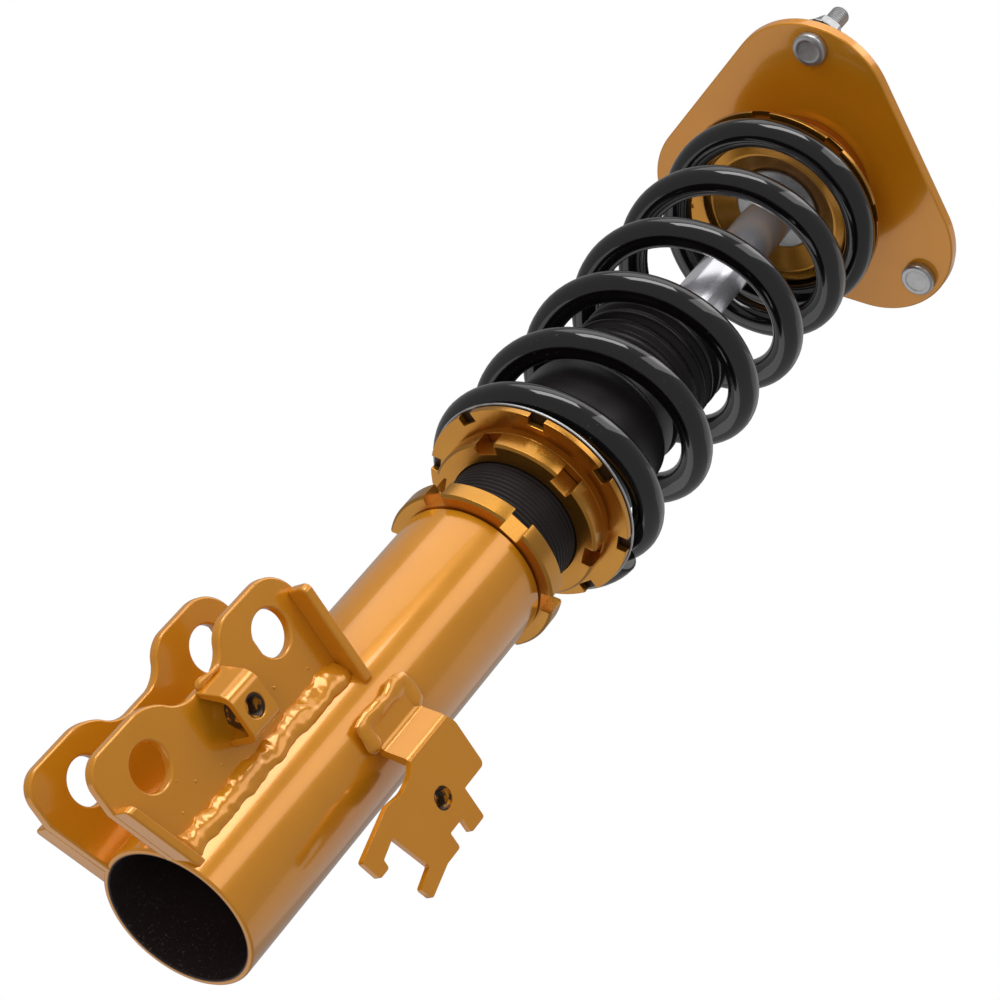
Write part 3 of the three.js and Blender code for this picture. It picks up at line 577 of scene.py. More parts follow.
class Finish:
    """One material and the graph of its nodes. Positions in it are in millimetres."""

    def __init__(self, name):
        material = bpy.data.materials.get(name) or bpy.data.materials.new(name)
        material.use_nodes = True
        self.tree = material.node_tree
        self.tree.nodes.clear()
        place = self.node("TexCoord", output="Object")
        self.place = self.node("VectorMath", {"operation": "SCALE"}, {0: place, "Scale": 1 / MM})
        parts = self.add("SeparateXYZ", inputs={0: self.place})
        self.x, self.y, self.z = (Number(self, socket) for socket in parts.outputs)
        self.radius = self.math("SQRT", self.x * self.x + self.y * self.y)

    def add(self, kind, options=None, inputs=None):
        """Adds a node, makes its settings, then gives its sockets their values or links."""
        node = self.tree.nodes.new("ShaderNode" + kind)
        for key, value in (options or {}).items():
            setattr(node, key, value)
        for key, value in (inputs or {}).items():
            self.feed(node.inputs[key], value)
        return node

    def feed(self, socket, value):
        """Links a value of the graph to a socket, or sets the socket."""
        if isinstance(value, Number):
            self.tree.links.new(value.socket, socket)
        elif socket.type == "RGBA":
            socket.default_value = (*value, 1.0)
        else:
            socket.default_value = value

    def node(self, kind, options=None, inputs=None, output=0):
        """Adds a node and gives one of its outputs."""
        return Number(self, self.add(kind, options, inputs).outputs[output])

    def math(self, operation, *values):
        """A Math node on the graph's values and plain numbers."""
        return self.node("Math", {"operation": operation}, dict(enumerate(values)))

    def mix(self, share, first, second):
        """A colour between two colours."""
        return self.node(
            "Mix", {"data_type": "RGBA", "clamp_factor": True}, {0: share, 6: first, 7: second}, 2
        )

    def noise(self, scale, detail=2.0, stretch=(1, 1, 1), roughness=0.5):
        """Soft noise from 0 to 1, with features of about 1 / scale mm, stretched along the axes."""
        vector = self.node("VectorMath", {"operation": "MULTIPLY"}, {0: self.place, 1: stretch})
        inputs = {"Vector": vector, "Scale": scale, "Detail": detail, "Roughness": roughness}
        return self.node("TexNoise", None, inputs)

    def cells(self, scale):
        """Distance to the nearest of many scattered points."""
        return self.node("TexVoronoi", None, {"Vector": self.place, "Scale": scale})

    def ramp(self, value, start, end):
        """A smooth step from 0 to 1 as value goes from start to end."""
        return self.node(
            "MapRange", {"interpolation_type": "SMOOTHSTEP"},
            {"Value": value, "From Min": start, "From Max": end},
        )

    def relief(self, height):
        """A normal from a height in millimetres."""
        return self.node("Bump", None, {"Strength": 1.0, "Distance": MM, "Height": height})

    def surface(self, **sockets):
        """Ends the graph with the shader. A socket's name is given with underscores."""
        inputs = {key.replace("_", " "): value for key, value in sockets.items()}
        shader = self.node("BsdfPrincipled", None, inputs)
        self.add("OutputMaterial", None, {"Surface": shader})


def paint_colour(finish, colours):
    """Gold paint, a little deeper where its coat is thick."""
    depth = finish.noise(0.035, 3.0)
    grain = finish.noise(2.2, 2.0)
    return finish.mix(depth * 0.75 + grain * 0.25, colours.paint_shade, colours.paint)


def paint_relief(finish):
    """The slight waviness of sprayed paint, with fine grinding lines under it."""
    peel = finish.noise(0.3, 1.0) * 0.012
    lines = finish.noise(1.3, 2.0, stretch=(1, 1, 0.035)) * 0.003
    return peel + lines


def gold_paint(finish, colours):
    """Semi-gloss gold paint."""
    patches = finish.noise(0.09, 3.0)
    finish.surface(
        Base_Color=paint_colour(finish, colours), Metallic=0.3, Roughness=0.15 + patches * 0.1,
        Coat_Weight=0.7, Coat_Roughness=0.05, Normal=finish.relief(paint_relief(finish)),
    )


def tapped_steel(finish, colours):
    """Bare oiled steel of the weld nuts, dark enough to stand as painted shade inside the threaded
    holes, with gold overspray in patches.
    """
    overspray = finish.ramp(finish.noise(0.28, 3.0), 0.52, 0.62)
    finish.surface(
        # painted shade: the dark steel colour also stands for the shade inside the threaded holes
        Base_Color=finish.mix(overspray, (0.055, 0.030, 0.016), colours.paint_shade), Metallic=0.5,
        Roughness=0.42 - overspray * 0.12, Normal=finish.relief(finish.noise(0.9, 3.0) * 0.03),
    )


def tube_paint(finish, colours):
    """The tube's paint outside, and a dark speckled coating inside it."""
    inside = finish.ramp(finish.radius, 27.1, 26.4)
    speck = finish.ramp(finish.noise(1.1, 4.0, roughness=0.7), 0.58, 0.70)
    worn = speck * finish.ramp(finish.z, 45.0, 0.0)
    lining = finish.mix(worn * 0.8, colours.tube_lining, (0.16, 0.14, 0.13))
    patches = finish.noise(0.09, 3.0)
    height = paint_relief(finish) + inside * finish.noise(0.9, 3.0) * 0.12
    finish.surface(
        Base_Color=finish.mix(inside, paint_colour(finish, colours), lining),
        Metallic=0.3 - inside * 0.3, Roughness=0.15 + patches * 0.1 + inside * 0.4,
        Coat_Weight=0.7 - inside * 0.65, Coat_Roughness=0.05, Normal=finish.relief(height),
    )


def gold_anodised(finish, colours):
    """Satin gold anodising over turned metal."""
    rings = finish.math("SINE", finish.radius * 21.0 + finish.noise(0.2) * 3.0)
    bands = finish.math("SINE", finish.z * 19.0)
    depth = finish.noise(0.05, 2.0)
    finish.surface(
        Base_Color=finish.mix(depth, colours.anodised_shade, colours.anodised), Metallic=0.92,
        Roughness=0.19 + finish.noise(0.6, 3.0) * 0.1, Coat_Weight=0.25, Coat_Roughness=0.1,
        Normal=finish.relief(rings * 0.0018 + bands * 0.0012 + finish.noise(3.0) * 0.004),
    )


def spring_paint(finish, colours):
    """Gloss black coat with a few scuffs."""
    scuff = finish.ramp(finish.noise(0.5, 4.0, roughness=0.7), 0.63, 0.72)
    area = finish.ramp(finish.noise(0.028, 1.0), 0.55, 0.68)
    worn = scuff * area
    finish.surface(
        Base_Color=finish.mix(worn, colours.spring, (0.11, 0.105, 0.11)),
        Roughness=0.30 + worn * 0.3 + finish.noise(0.3, 2.0) * 0.08, Specular_IOR_Level=0.05,
        Coat_Weight=1.0, Coat_Roughness=0.07, Coat_IOR=1.65,
        Normal=finish.relief(finish.noise(0.35, 2.0) * 0.03 + worn * 0.02),
    )


def black_steel(finish, colours):
    """Black oxide, slightly brown, dulled by oil."""
    rust = finish.noise(0.22, 4.0)
    finish.surface(
        Base_Color=finish.mix(rust * 0.6, colours.black_steel, (0.022, 0.014, 0.013)),
        Metallic=0.45, Roughness=0.38 + finish.noise(0.8, 3.0) * 0.22,
        Normal=finish.relief(finish.noise(2.4, 3.0) * 0.02),
    )


def black_rubber(finish, colours):
    """Satin moulded rubber with a little dust."""
    bloom = finish.noise(0.06, 4.0)
    dust = finish.ramp(finish.cells(0.35), 0.10, 0.03) * finish.ramp(bloom, 0.45, 0.7)
    shade = finish.mix(bloom * 0.5, colours.rubber, (0.016, 0.014, 0.015))
    finish.surface(
        Base_Color=finish.mix(dust * 0.6, shade, (0.09, 0.09, 0.09)), Roughness=0.28 + bloom * 0.18,
        Specular_IOR_Level=0.22, Normal=finish.relief(finish.noise(1.6, 3.0) * 0.03),
    )


def polished_chrome(finish, colours):
    """Hard chrome, ground and polished, with faint lines round it."""
    ground = finish.noise(0.5, 3.0, stretch=(0.08, 0.08, 9.0))
    finish.surface(
        Base_Color=finish.mix(ground * 0.4, colours.chrome, (0.55, 0.55, 0.60)), Metallic=0.82,
        Roughness=0.13 + ground * 0.08, Normal=finish.relief(ground * 0.0025),
    )


def zinc_plate(finish, colours):
    """Mottled bright zinc plating, with painted shade on the perch washer's underside."""
    spangle = finish.cells(0.55)
    mottle = finish.noise(0.35, 4.0, roughness=0.65)
    edge = high("perch_washer").x
    under = finish.ramp(finish.z, 233.5, 233.3) * finish.ramp(finish.radius, edge - 0.2, edge - 0.7)
    # painted shade: the perch washer's underside, where it lies on the perch, is made dark brown and
    # less metallic
    painted_shade_under_washer = under * finish.ramp(finish.z, 230, 231)
    plated = finish.mix(mottle * 0.9, (0.30, 0.31, 0.33), colours.zinc)
    finish.surface(
        Base_Color=finish.mix(painted_shade_under_washer, plated, (0.035, 0.017, 0.008)), Metallic=0.9 - painted_shade_under_washer * 0.5,
        Roughness=0.24 + mottle * 0.22, Normal=finish.relief(spangle * 0.012 + mottle * 0.03),
    )


def plain_steel(finish, colours):
    """Oiled turned steel."""
    lines = finish.noise(0.5, 2.0, stretch=(0.2, 0.2, 12.0))
    stain = finish.noise(0.12, 3.0)
    finish.surface(
        Base_Color=finish.mix(stain * 0.6, colours.steel, (0.2, 0.19, 0.17)), Metallic=0.95,
        Roughness=0.26 + stain * 0.2, Normal=finish.relief(lines * 0.01),
    )


def seal_rubber(finish, colours):
    """Dull nitrile rubber."""
    mottle = finish.noise(0.6, 4.0)
    finish.surface(
        Base_Color=finish.mix(mottle * 0.5, colours.seal, (0.055, 0.04, 0.032)),
        Roughness=0.6 + mottle * 0.2, Normal=finish.relief(mottle * 0.04),
    )


def bump_foam(finish, colours):
    """Matt cellular foam with open pores."""
    pores = finish.ramp(finish.cells(1.4), 0.16, 0.34)
    stain = finish.noise(0.1, 3.0)
    shade = finish.mix(stain * 0.5, colours.foam, (0.40, 0.29, 0.07))
    finish.surface(
        Base_Color=finish.mix(1 - pores, shade, (0.22, 0.15, 0.03)), Roughness=0.85,
        Normal=finish.relief(pores * 0.15),
    )


def band_plastic(finish, colours):
    """Matt filled plastic with short fibres."""
    fibres = finish.noise(1.2, 3.0, stretch=(1, 1, 5))
    finish.surface(
        Base_Color=finish.mix(fibres * 0.6, colours.band, (0.14, 0.17, 0.14)),
        Roughness=0.6 + fibres * 0.15, Normal=finish.relief(fibres * 0.02),
    )


def floor_paper(finish, colours):
    """Pale studio paper."""
    fibres = finish.noise(0.02, 3.0)
    finish.surface(
        Base_Color=finish.mix(fibres * 0.1, colours.floor, (0.8, 0.8, 0.8)), Roughness=0.9,
        Emission_Color=colours.floor, Emission_Strength=0.6,
    )


FINISHES = (
    gold_paint, tapped_steel, tube_paint, gold_anodised, spring_paint, black_steel, black_rubber,
    polished_chrome, zinc_plate, plain_steel, seal_rubber, bump_foam, band_plastic, floor_paper,
)


# Operators


class PieceOperator:
    """What the operators share. Each takes its sizes and colours from the scene's settings."""

    bl_options = {"REGISTER", "UNDO"}


class COILOVER_OT_finishes(PieceOperator, bpy.types.Operator):
    """Makes the finishes and gives the inner pieces theirs"""

    bl_idname = "coilover.finishes"
    bl_label = "Make Finishes"

    def execute(self, context):
        for maker in FINISHES:
            maker(Finish(maker.__name__), context.scene.coilover_colours)
        for row in frame["record"]["subparts"]:
            node = NODES[row["node"]]
            for place in node.material_slots:
                place.material = bpy.data.materials[row["material_slot"]]
        return {"FINISHED"}


class COILOVER_OT_tube(PieceOperator, bpy.types.Operator):
    """Builds the bracket tube"""

    bl_idname = "coilover.tube"
    bl_label = "Build Tube"

    def execute(self, context):
        size = settings(context)
        bore = size.tube_radius - size.tube_wall
        profile = square_section(bore, size.tube_radius, (0, size.tube_length), 0.7, 0.9)
        add_piece(turned(profile), "strut_tube", "tube_paint", "bracket_tube")
        return {"FINISHED"}


EAR_FOOT = -8.3  # height of the ears' lower corner
FAR_EAR_DROP = 1.3  # keeps the far ear out of the camera's view through the near ear's upper hole
EAR_REACH = 47  # run of the sloping lip from the tube's axis
LIP_RISE = 15.5  # climb of the lip over that run
# Places of holes in the XZ plane
BOLT_HOLES = ((-48.5, 13.3), (-48.5, 83.3))
HOSE_HOLE = (-40.9, 51.1)
SENSOR_HOLE = (27.3, 85.2)
TOWARDS_CAMERA = Vector((0, -1, 0))
TOUCHING = 0.01  # how near a height or depth counts as the same


def tube_clearance():
    """What is cut from sheets that end inside the tube's wall."""
    inside_wall = 27.2
    return turned([(0, -40), (inside_wall, -40), (inside_wall, 140), (0, 140)])


def ear_plate(size, far, near, top):
    """The ear's flat plate, with its outer bend along the top."""
    root = -22.05  # where the plate ends, inside the tube's wall
    rise = LIP_RISE * (EAR_REACH + root) / EAR_REACH
    flat = pierced(
        [
            (root, EAR_FOOT + rise), (-EAR_REACH, EAR_FOOT), (-64.6, EAR_FOOT, 9), (-64.6, 27, 8),
            (-54, 36, 6), (-54, 59, 6), (-64.6, 66, 6), (-64.6, top, 14), (root, top),
        ],
        [(across, up, size.bolt_hole) for across, up in BOLT_HOLES],
    )
    plate = upright(flat, far, near)

    def lies(edge, axis, value):
        return all(abs(vert.co[axis] - value) < TOUCHING for vert in edge.verts)

    def outer_bend(edge):
        return lies(edge, 1, near) and lies(edge, 2, top)

    def plain_edge(edge):
        flange_side = lies(edge, 1, far) and lies(edge, 2, top)
        return not lies(edge, 0, root) and not flange_side and not outer_bend(edge)

    softened(plate, size.ear_edge, 3, plain_edge)
    return softened(plate, size.ear_sheet - 0.1, 6, outer_bend)


def ear_flange(size, far, top):
    """The stiffening flange that stands out along the ear's top."""
    shape = outline([(-54, far + 0.4), (-54, far - 8, 2.5), (-13, far - 8, 2.5), (-13, far + 0.4)])
    sheet = softened(level(shape, top - size.ear_sheet, top - 0.03), size.ear_edge)
    return combined(sheet, tube_clearance(), "DIFFERENCE")


def ear_lip(size, far):
    """The lip along the ear's foot, which climbs towards the tube."""
    shape = outline([
        (-EAR_REACH, far + 1), (-EAR_REACH, far - 6, 2.2), (-14, far - 6, 4), (-14, far + 1),
    ])
    sheet = softened(level(shape, 0, size.ear_sheet), size.ear_edge)
    slope = Matrix.Identity(4)
    slope[2][0] = LIP_RISE / EAR_REACH
    slope[2][3] = LIP_RISE + EAR_FOOT
    return combined(moved(sheet, slope), tube_clearance(), "DIFFERENCE")


def ear_shape(size, top):
    """A knuckle ear on the near side: a plate with a flange on top and a lip at its foot."""
    near = -size.ear_gap
    far = near - size.ear_sheet
    return together(ear_plate(size, far, near, top), ear_flange(size, far, top), ear_lip(size, far))


class COILOVER_OT_ears(PieceOperator, bpy.types.Operator):
    """Builds both knuckle ears"""

    bl_idname = "coilover.ears"
    bl_label = "Build Ears"

    def execute(self, context):
        size = settings(context)
        top = high("knuckle_ear_near").z
        near = ear_shape(size, top)
        far = ear_shape(size, top - FAR_EAR_DROP)
        bmesh.ops.scale(far, vec=(1, -1, 1), verts=far.verts[:])
        bmesh.ops.reverse_faces(far, faces=far.faces[:])
        for shape, side in ((near, "near"), (far, "far")):
            add_piece(shape, f"pressed_ear_{side}", "gold_paint", f"knuckle_ear_{side}")
        return {"FINISHED"}


class COILOVER_OT_welds(PieceOperator, bpy.types.Operator):
    """Builds the weld beads between ears and tube"""

    bl_idname = "coilover.welds"
    bl_label = "Build Welds"

    seam = (-21.6, 19.7)  # where the far ear meets the tube, seen from above
    ends = (4.5, 98)
    spatter = (
        (-32, 92), (-30.5, 87), (-35, 71), (-29.5, 62), (-31, 36), (-34, 24), (-39, 18), (-30, 13),
    )

    def execute(self, context):
        size = settings(context)
        for side, name in ((-1, "near"), (1, "far")):
            foot, head = ((self.seam[0], side * self.seam[1], height) for height in self.ends)
            points = line_points(foot, head, 0.7)
            outwards = Vector((-0.41, side * 0.91, 0))
            bead = weld_bead(points, 4.9, 2.1, outwards, size.weld_ripple, 24)
            outer = side * (size.ear_gap + size.ear_sheet)
            drops = droplets([(across, outer, up) for across, up in self.spatter])
            shape = together(bead, drops)
            add_piece(shape, f"weld_bead_{name}", "gold_paint", f"ear_weld_{name}", weighted=False)
        return {"FINISHED"}


class COILOVER_OT_hose_bracket(PieceOperator, bpy.types.Operator):
    """Builds the hose bracket and its weld nut"""

    bl_idname = "coilover.hose_bracket"
    bl_label = "Build Hose Bracket"

    def execute(self, context):
        size = settings(context)
        back, front = -18.0, -30.5  # depths
        foot, head = 43.7, 58.5  # heights
        sheet = size.bracket_sheet
        near, far, lean = -31.7, -54.2, 4.2
        section = outline([
            (far, back), (far + lean, front, 4.0), (near, front, 3.4), (near, back),
            (near - sheet, back), (near - sheet, front + sheet, 1.6),
            (far + lean + sheet, front + sheet, 1.8), (far + sheet, back),
        ])
        channel = level(section, foot, head)
        hole = cross_rod(*HOSE_HOLE, size.screw_hole, front - 1, front + sheet + 1)
        channel = softened(combined(channel, hole, "DIFFERENCE"), size.bracket_edge)
        legs = []
        for across in (far - 0.6, near + 0.6):
            points = line_points((across, back - 0.6, 45), (across, back - 0.6, 57.5), 0.8)
            legs.append(weld_bead(points, 1.5, 1.0, TOWARDS_CAMERA, size.weld_ripple * 0.5, 12))
        add_piece(together(channel, *legs), "hose_channel", "gold_paint", "hose_bracket")
        nut = bracket_nut(*HOSE_HOLE, front + sheet, size)
        add_piece(nut, "hose_thread", "tapped_steel", "hose_weld_nut")
        return {"FINISHED"}


def bracket_nut(across, up, face, size):
    """A weld nut behind a sheet's face, with its threaded neck in the sheet's hole."""
    tall = 5.5
    nut = hexagon([(4.1, 0), (6.2, 0), (7.5, 0.8), (7.5, 4.9), (6.5, tall), (4.1, tall)], 13)
    moved(nut, Matrix.Translation((across, face, up)) @ FLAT_TO_LEVEL)
    height = (face + tall) - (face - size.bracket_sheet + 0.4)
    bore = 3.1
    neck = turned([
        (size.screw_hole, 0), (size.screw_hole, height), (bore + 0.5, height),
        *ridges(bore, height - 0.4, 0.4, BOLT_PITCH, -0.65), (bore + 0.5, 0),
    ], SMALL_STEPS)
    moved(neck, Matrix.Translation((across, face + tall, up)) @ LEVEL_TO_FLAT)
    return together(nut, neck)


# Outline of the sensor bracket's plate, seen from its front
SENSOR_PLATE = (
    (9.5, 82.5), (9.5, 106.5), (12.9, 108.2, 1), (31.3, 108.2, 2), (31.3, 95.3, 0.5),
    (43.6, 95.3, 1), (43.6, 87, 1), (37.5, 87, 0.5), (37.5, 79.3, 0.5), (43.6, 79.3, 1), (43.6, 71),
    (47.2, 57.6, 1), (41.8, 55.8, 1), (39, 64.2, 0.5), (21.8, 58.4, 0.5), (24.4, 50.2, 0.5),
    (27.7, 50.2, 1), (27.7, 44.7, 1), (19, 42.4, 1), (13.1, 63.9), (14.4, 72.5, 2), (12.2, 80.5, 2),
)


class COILOVER_OT_sensor_bracket(PieceOperator, bpy.types.Operator):
    """Builds the sensor bracket, its bead and its weld nut"""

    bl_idname = "coilover.sensor_bracket"
    bl_label = "Build Sensor Bracket"

    def execute(self, context):
        size = settings(context)
        sheet = size.bracket_sheet
        outer, face = -31.3, -40.0  # depths of the foot and the plate
        foot, head = 82.5, 106.5  # heights of the step between them
        step = outline([
            (-6.3, outer), (3.2, outer, 2.0), (9.0, face, 2.4), (11.5, face), (11.5, face + sheet),
            (4.7, outer + sheet, 2.0), (-6.3, outer + sheet),
        ])
        plate = upright(outline(SENSOR_PLATE), face, face + sheet)
        whole = combined(level(step, foot, head), plate, "UNION")
        hole = cross_rod(*SENSOR_HOLE, size.screw_hole, face - 1, face + sheet + 1)
        whole = softened(combined(whole, hole, "DIFFERENCE"), size.bracket_edge)
        points = self.bead_points(outer + 1.2)
        bead = weld_bead(points, 3.5, 1.9, TOWARDS_CAMERA, size.weld_ripple * 0.6, 16)
        add_piece(together(whole, bead), "sensor_sheet", "gold_paint", "sensor_bracket")
        nut = bracket_nut(*SENSOR_HOLE, face + sheet, size)
        add_piece(nut, "sensor_thread", "tapped_steel", "sensor_weld_nut")
        return {"FINISHED"}

    def bead_points(self, depth):
        """The bead runs down the foot's free side and along its two ends."""
        corners = [(3.6, 107.2), (-6.8, 107.2), (-6.8, 81.8), (3.6, 81.8)]
        points = []
        for start, end in zip(corners, corners[1:]):
            points += line_points((start[0], depth, start[1]), (end[0], depth, end[1]), 0.9)[:-1]
        return points


def lock_ring(size, node, turn):
    """A notched lock ring in its CAD node's place."""
    bottom, top = heights(node)
    bm = notched_disc(
        size.ring_radius, size.body_radius + RUNNING_GAP, bottom, top, 6, turn,
        size.ring_notch_width, size.ring_notch_depth,
    )

    def on_rim(edge):
        level_edge = abs(edge.verts[0].co.z - edge.verts[1].co.z) < TOUCHING
        return level_edge and all(vert.co.xy.length > size.ring_radius - 0.1 for vert in edge.verts)

    softened(bm, size.ring_chamfer, 1, on_rim)
    return softened(bm, 0.18, 2)


class COILOVER_OT_lock_rings(PieceOperator, bpy.types.Operator):
    """Builds the two lock rings"""

    bl_idname = "coilover.lock_rings"
    bl_label = "Build Lock Rings"

    def execute(self, context):
        size = settings(context)
        for node, name, turn in (
            ("bracket_lock_ring", "lower_ring", 9),
            ("perch_lock_ring", "upper_ring", 15),
        ):
            add_piece(lock_ring(size, node, turn), name, "gold_anodised", node)
        return {"FINISHED"}


class COILOVER_OT_perch(PieceOperator, bpy.types.Operator):
    """Builds the spring perch and the washer on it"""

    bl_idname = "coilover.perch"
    bl_label = "Build Perch"

    def execute(self, context):
        size = settings(context)
        bore = size.body_radius + RUNNING_GAP
        rim = notched_disc(
            size.perch_radius, 30, 230.2, 232.9, 8, -4, size.rim_notch_width, size.rim_notch_depth
        )
        softened(rim, 0.35, 2)
        hub = turned([
            (bore, 228.4, 0.5), (32.6, 228.4, 0.4), (32.6, 230.5), (36.5, 230.5), (36.5, 231.5),
            (32.7, 232.6), (32.7, 240.9, 1), (bore, 240.9, 0.5),
        ])
        add_piece(together(rim, hub), "perch", "gold_anodised", "spring_perch")
        section = square_section(33, high("perch_washer").x, (233.2, 234.2), 0.25, 0.25)
        add_piece(turned(section), "perch_slip_washer", "zinc_plate", "perch_washer")
        return {"FINISHED"}


SPRING_TURNS = 6.3
FLAT_TURNS = 0.5  # of each end of the spring
OPENING_TURNS = 0.35  # in which the pitch then opens
WIRE_STEPS = 72  # sections of the wire in a turn


def pitch_share(turn):
    """How much of the open pitch the spring has climbed after so many turns from an end."""
    opened = min(max(turn - FLAT_TURNS, 0.0), OPENING_TURNS)
    return opened * opened / (2 * OPENING_TURNS) + max(turn - FLAT_TURNS - OPENING_TURNS, 0.0)


def spring_place(turn, size, bottom, top):
    """Where the wire's section stands after so many turns."""
    rise = top - bottom - 2 * size.wire_radius
    pitch = rise / (SPRING_TURNS - 2 * FLAT_TURNS - OPENING_TURNS)

    def climbed(at):
        if at <= SPRING_TURNS / 2:
            return pitch * pitch_share(at)
        return rise - pitch * pitch_share(SPRING_TURNS - at)

    outwards = round_the_axis(FIRST_ANGLE + turn * TURN)
    slope = (climbed(turn + 0.002) - climbed(turn - 0.002)) / (0.004 * TURN)
    radius = size.spring_radius
    along = Vector((-outwards.y * radius, outwards.x * radius, slope)).normalized()
    upwards = outwards.cross(along) * -1
    centre = outwards * radius + Vector((0, 0, bottom + size.wire_radius + climbed(turn)))
    section = frame_of(outwards * size.wire_radius, upwards * -size.wire_radius, along)
    return Matrix.Translation(centre) @ section


class COILOVER_OT_spring(PieceOperator, bpy.types.Operator):
    """Winds the coil spring"""

    bl_idname = "coilover.spring"
    bl_label = "Wind Spring"

    def execute(self, context):
        size = settings(context)
        steps = int(SPRING_TURNS * WIRE_STEPS)
        bottom, top = heights("coil_spring")
        turns = [step / steps * SPRING_TURNS for step in range(steps + 1)]
        places = [spring_place(turn, size, bottom, top) for turn in turns]
        wire = softened(swept(places, 24), 0.9)
        piece = add_piece(wire, "spring_coil", "spring_paint", "coil_spring", weighted=False)
        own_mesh(piece)
        return {"FINISHED"}


class COILOVER_OT_damper(PieceOperator, bpy.types.Operator):
    """Builds the threaded damper body and its end cap"""

    bl_idname = "coilover.damper"
    bl_label = "Build Damper"

    def execute(self, context):
        size = settings(context)
        bottom, top = heights("damper_body")
        radius = size.body_radius
        bore = radius - 3.2
        depth = 0.5
        root = radius - depth
        profile = [
            (bore, bottom, 0.5), (root, bottom, 0.8), (root, bottom + 11),
            *ridges(radius, bottom + 12, top - 2, size.body_thread, depth),
            (root, top, 0.5), (bore, top, 0.5),
        ]
        add_piece(turned(profile, 96), "threaded_body", "black_steel", "damper_body")
        cap = turned([
            (0, 71.6), (15, 71.2, 2), (18, 70, 0.6), (22.2, 70, 0.5), (22.2, 78, 0.5), (0, 78),
        ])
        add_piece(cap, "body_base", "black_steel", "body_end_cap")
        return {"FINISHED"}


class COILOVER_OT_boot(PieceOperator, bpy.types.Operator):
    """Builds the ribbed dust boot and the bump stop inside it"""

    bl_idname = "coilover.boot"
    bl_label = "Build Boot"

    def execute(self, context):
        size = settings(context)
        add_piece(self.boot(size), "ribbed_boot", "black_rubber", "dust_boot")
        add_piece(self.bump_stop(), "foam_stop", "bump_foam", "bump_stop")
        return {"FINISHED"}

    def boot(self, size):
        bottom, top = heights("dust_boot")
        root = 26.2
        crest = root + size.boot_rib
        pitch = 6.8
        profile = [
            (28.2, bottom, 0.6), (30.7, bottom, 0.9), (30.0, 279.5, 1.0), (30.2, 281.6, 0.8),
            (29.4, 283.4, 0.9), (27.9, 284.6, 0.8), (27.9, 293.0, 0.9),
        ]
        for rib in range(7):
            foot = 294.7 + rib * pitch
            heights_of_crest = (foot + 0.33 * pitch, foot + 0.62 * pitch)
            profile += [(root, foot, 0.8), *((crest, height, 0.8) for height in heights_of_crest)]
        profile += [
            (root, 342.3, 0.8), (24.8, 346.9, 1.6), (22.6, top, 1.0), (11.5, top, 0.7),
            (11.5, top - 2.5, 0.7), (21.7, top - 2.5, 0.8), (24.2, 342.3), (24.2, 293.7),
            (26.0, 293.7), (26.0, 280.5), (28.2, 278, 0.8),
        ]
        return turned(profile)

    def bump_stop(self):
        bottom, top = heights("bump_stop")
        pitch = (top - bottom) / 4
        profile = [(10.3, bottom, 0.6), (16, bottom, 1)]
        for bulge in range(4):
            radius = 20 - bulge
            foot = bottom + bulge * pitch
            profile += [(radius, foot + 2.4, 1.8), (radius, foot + pitch - 2.4, 1.8)]
            if bulge < 3:
                profile.append((radius - 4, foot + pitch, 1.2))
        profile += [(13.6, top, 1.2), (10.3, top, 0.6)]
        return turned(profile, 96)


class COILOVER_OT_rod(PieceOperator, bpy.types.Operator):
    """Builds the chromed rod with its washers and nut"""

    bl_idname = "coilover.rod"
    bl_label = "Build Rod"

    def execute(self, context):
        size = settings(context)
        bottom, top = heights("piston_rod")
        piston_step, shoulder, thread_foot = 252.1, 441.0, 478
        rod = turned([
            (0, bottom), (6, bottom, 0.6), (6, piston_step), (size.rod_radius, piston_step, 0.3),
            (size.rod_radius, shoulder, 0.4), (7, shoulder), (7, thread_foot),
            *ridges(7, thread_foot + 1, top - 1.5, BOLT_PITCH, 0.7),
            (6.2, top - 1.0), (5.4, top, 0.3), (0, top),
        ], 96)
        add_piece(rod, "chromed_rod", "polished_chrome", "piston_rod")
        self.washer("seat_washer", "rod_washer", 18, 0.7)
        self.washer("nut_washer", "top_washer", 11, 0.5)
        nut = hexagon_nut(21, *heights("top_nut"), 6.5, 0.2)
        add_piece(nut, "rod_nut", "zinc_plate", "top_nut")
        return {"FINISHED"}

    def washer(self, name, node, radius, rounding):
        profile = square_section(NECK_BORE, radius, heights(node), 0.3, rounding)
        add_piece(turned(profile), name, "zinc_plate", node)


class COILOVER_OT_seat(PieceOperator, bpy.types.Operator):
    """Builds the upper spring seat"""

    bl_idname = "coilover.seat"
    bl_label = "Build Upper Seat"

    def execute(self, context):
        size = settings(context)
        rim = notched_disc(size.seat_radius, 31, 443.8, 445.8, 8, 22, 8, 3)
        softened(rim, 0.3, 2)
        cone = turned([
            (NECK_BORE, 444.8), (18.3, 444.8), (18.3, 442.8, 0.5), (27.5, 438, 0.9),
            (32.7, 438, 1.0), (32.7, 445.0), (size.seat_radius - 0.3, 445.5),
            (size.seat_radius - 0.3, 445.9), (30, 451.3, 1.5), (17, 455.3, 1.0), (11, 455.3, 0.8),
            (11, 460.2, 0.5), (NECK_BORE, 460.2, 0.4),
        ])
        add_piece(together(rim, cone), "spring_seat", "gold_anodised", "upper_spring_seat")
        return {"FINISHED"}


def arc_profile(radius, half_height, steps):
    """Profile points of a sphere's belt from its foot to its top."""
    limit = math.asin(half_height / radius)
    angles = [-limit + 2 * limit * step / steps for step in range(steps + 1)]
    return [(radius * math.cos(angle), radius * math.sin(angle)) for angle in angles]


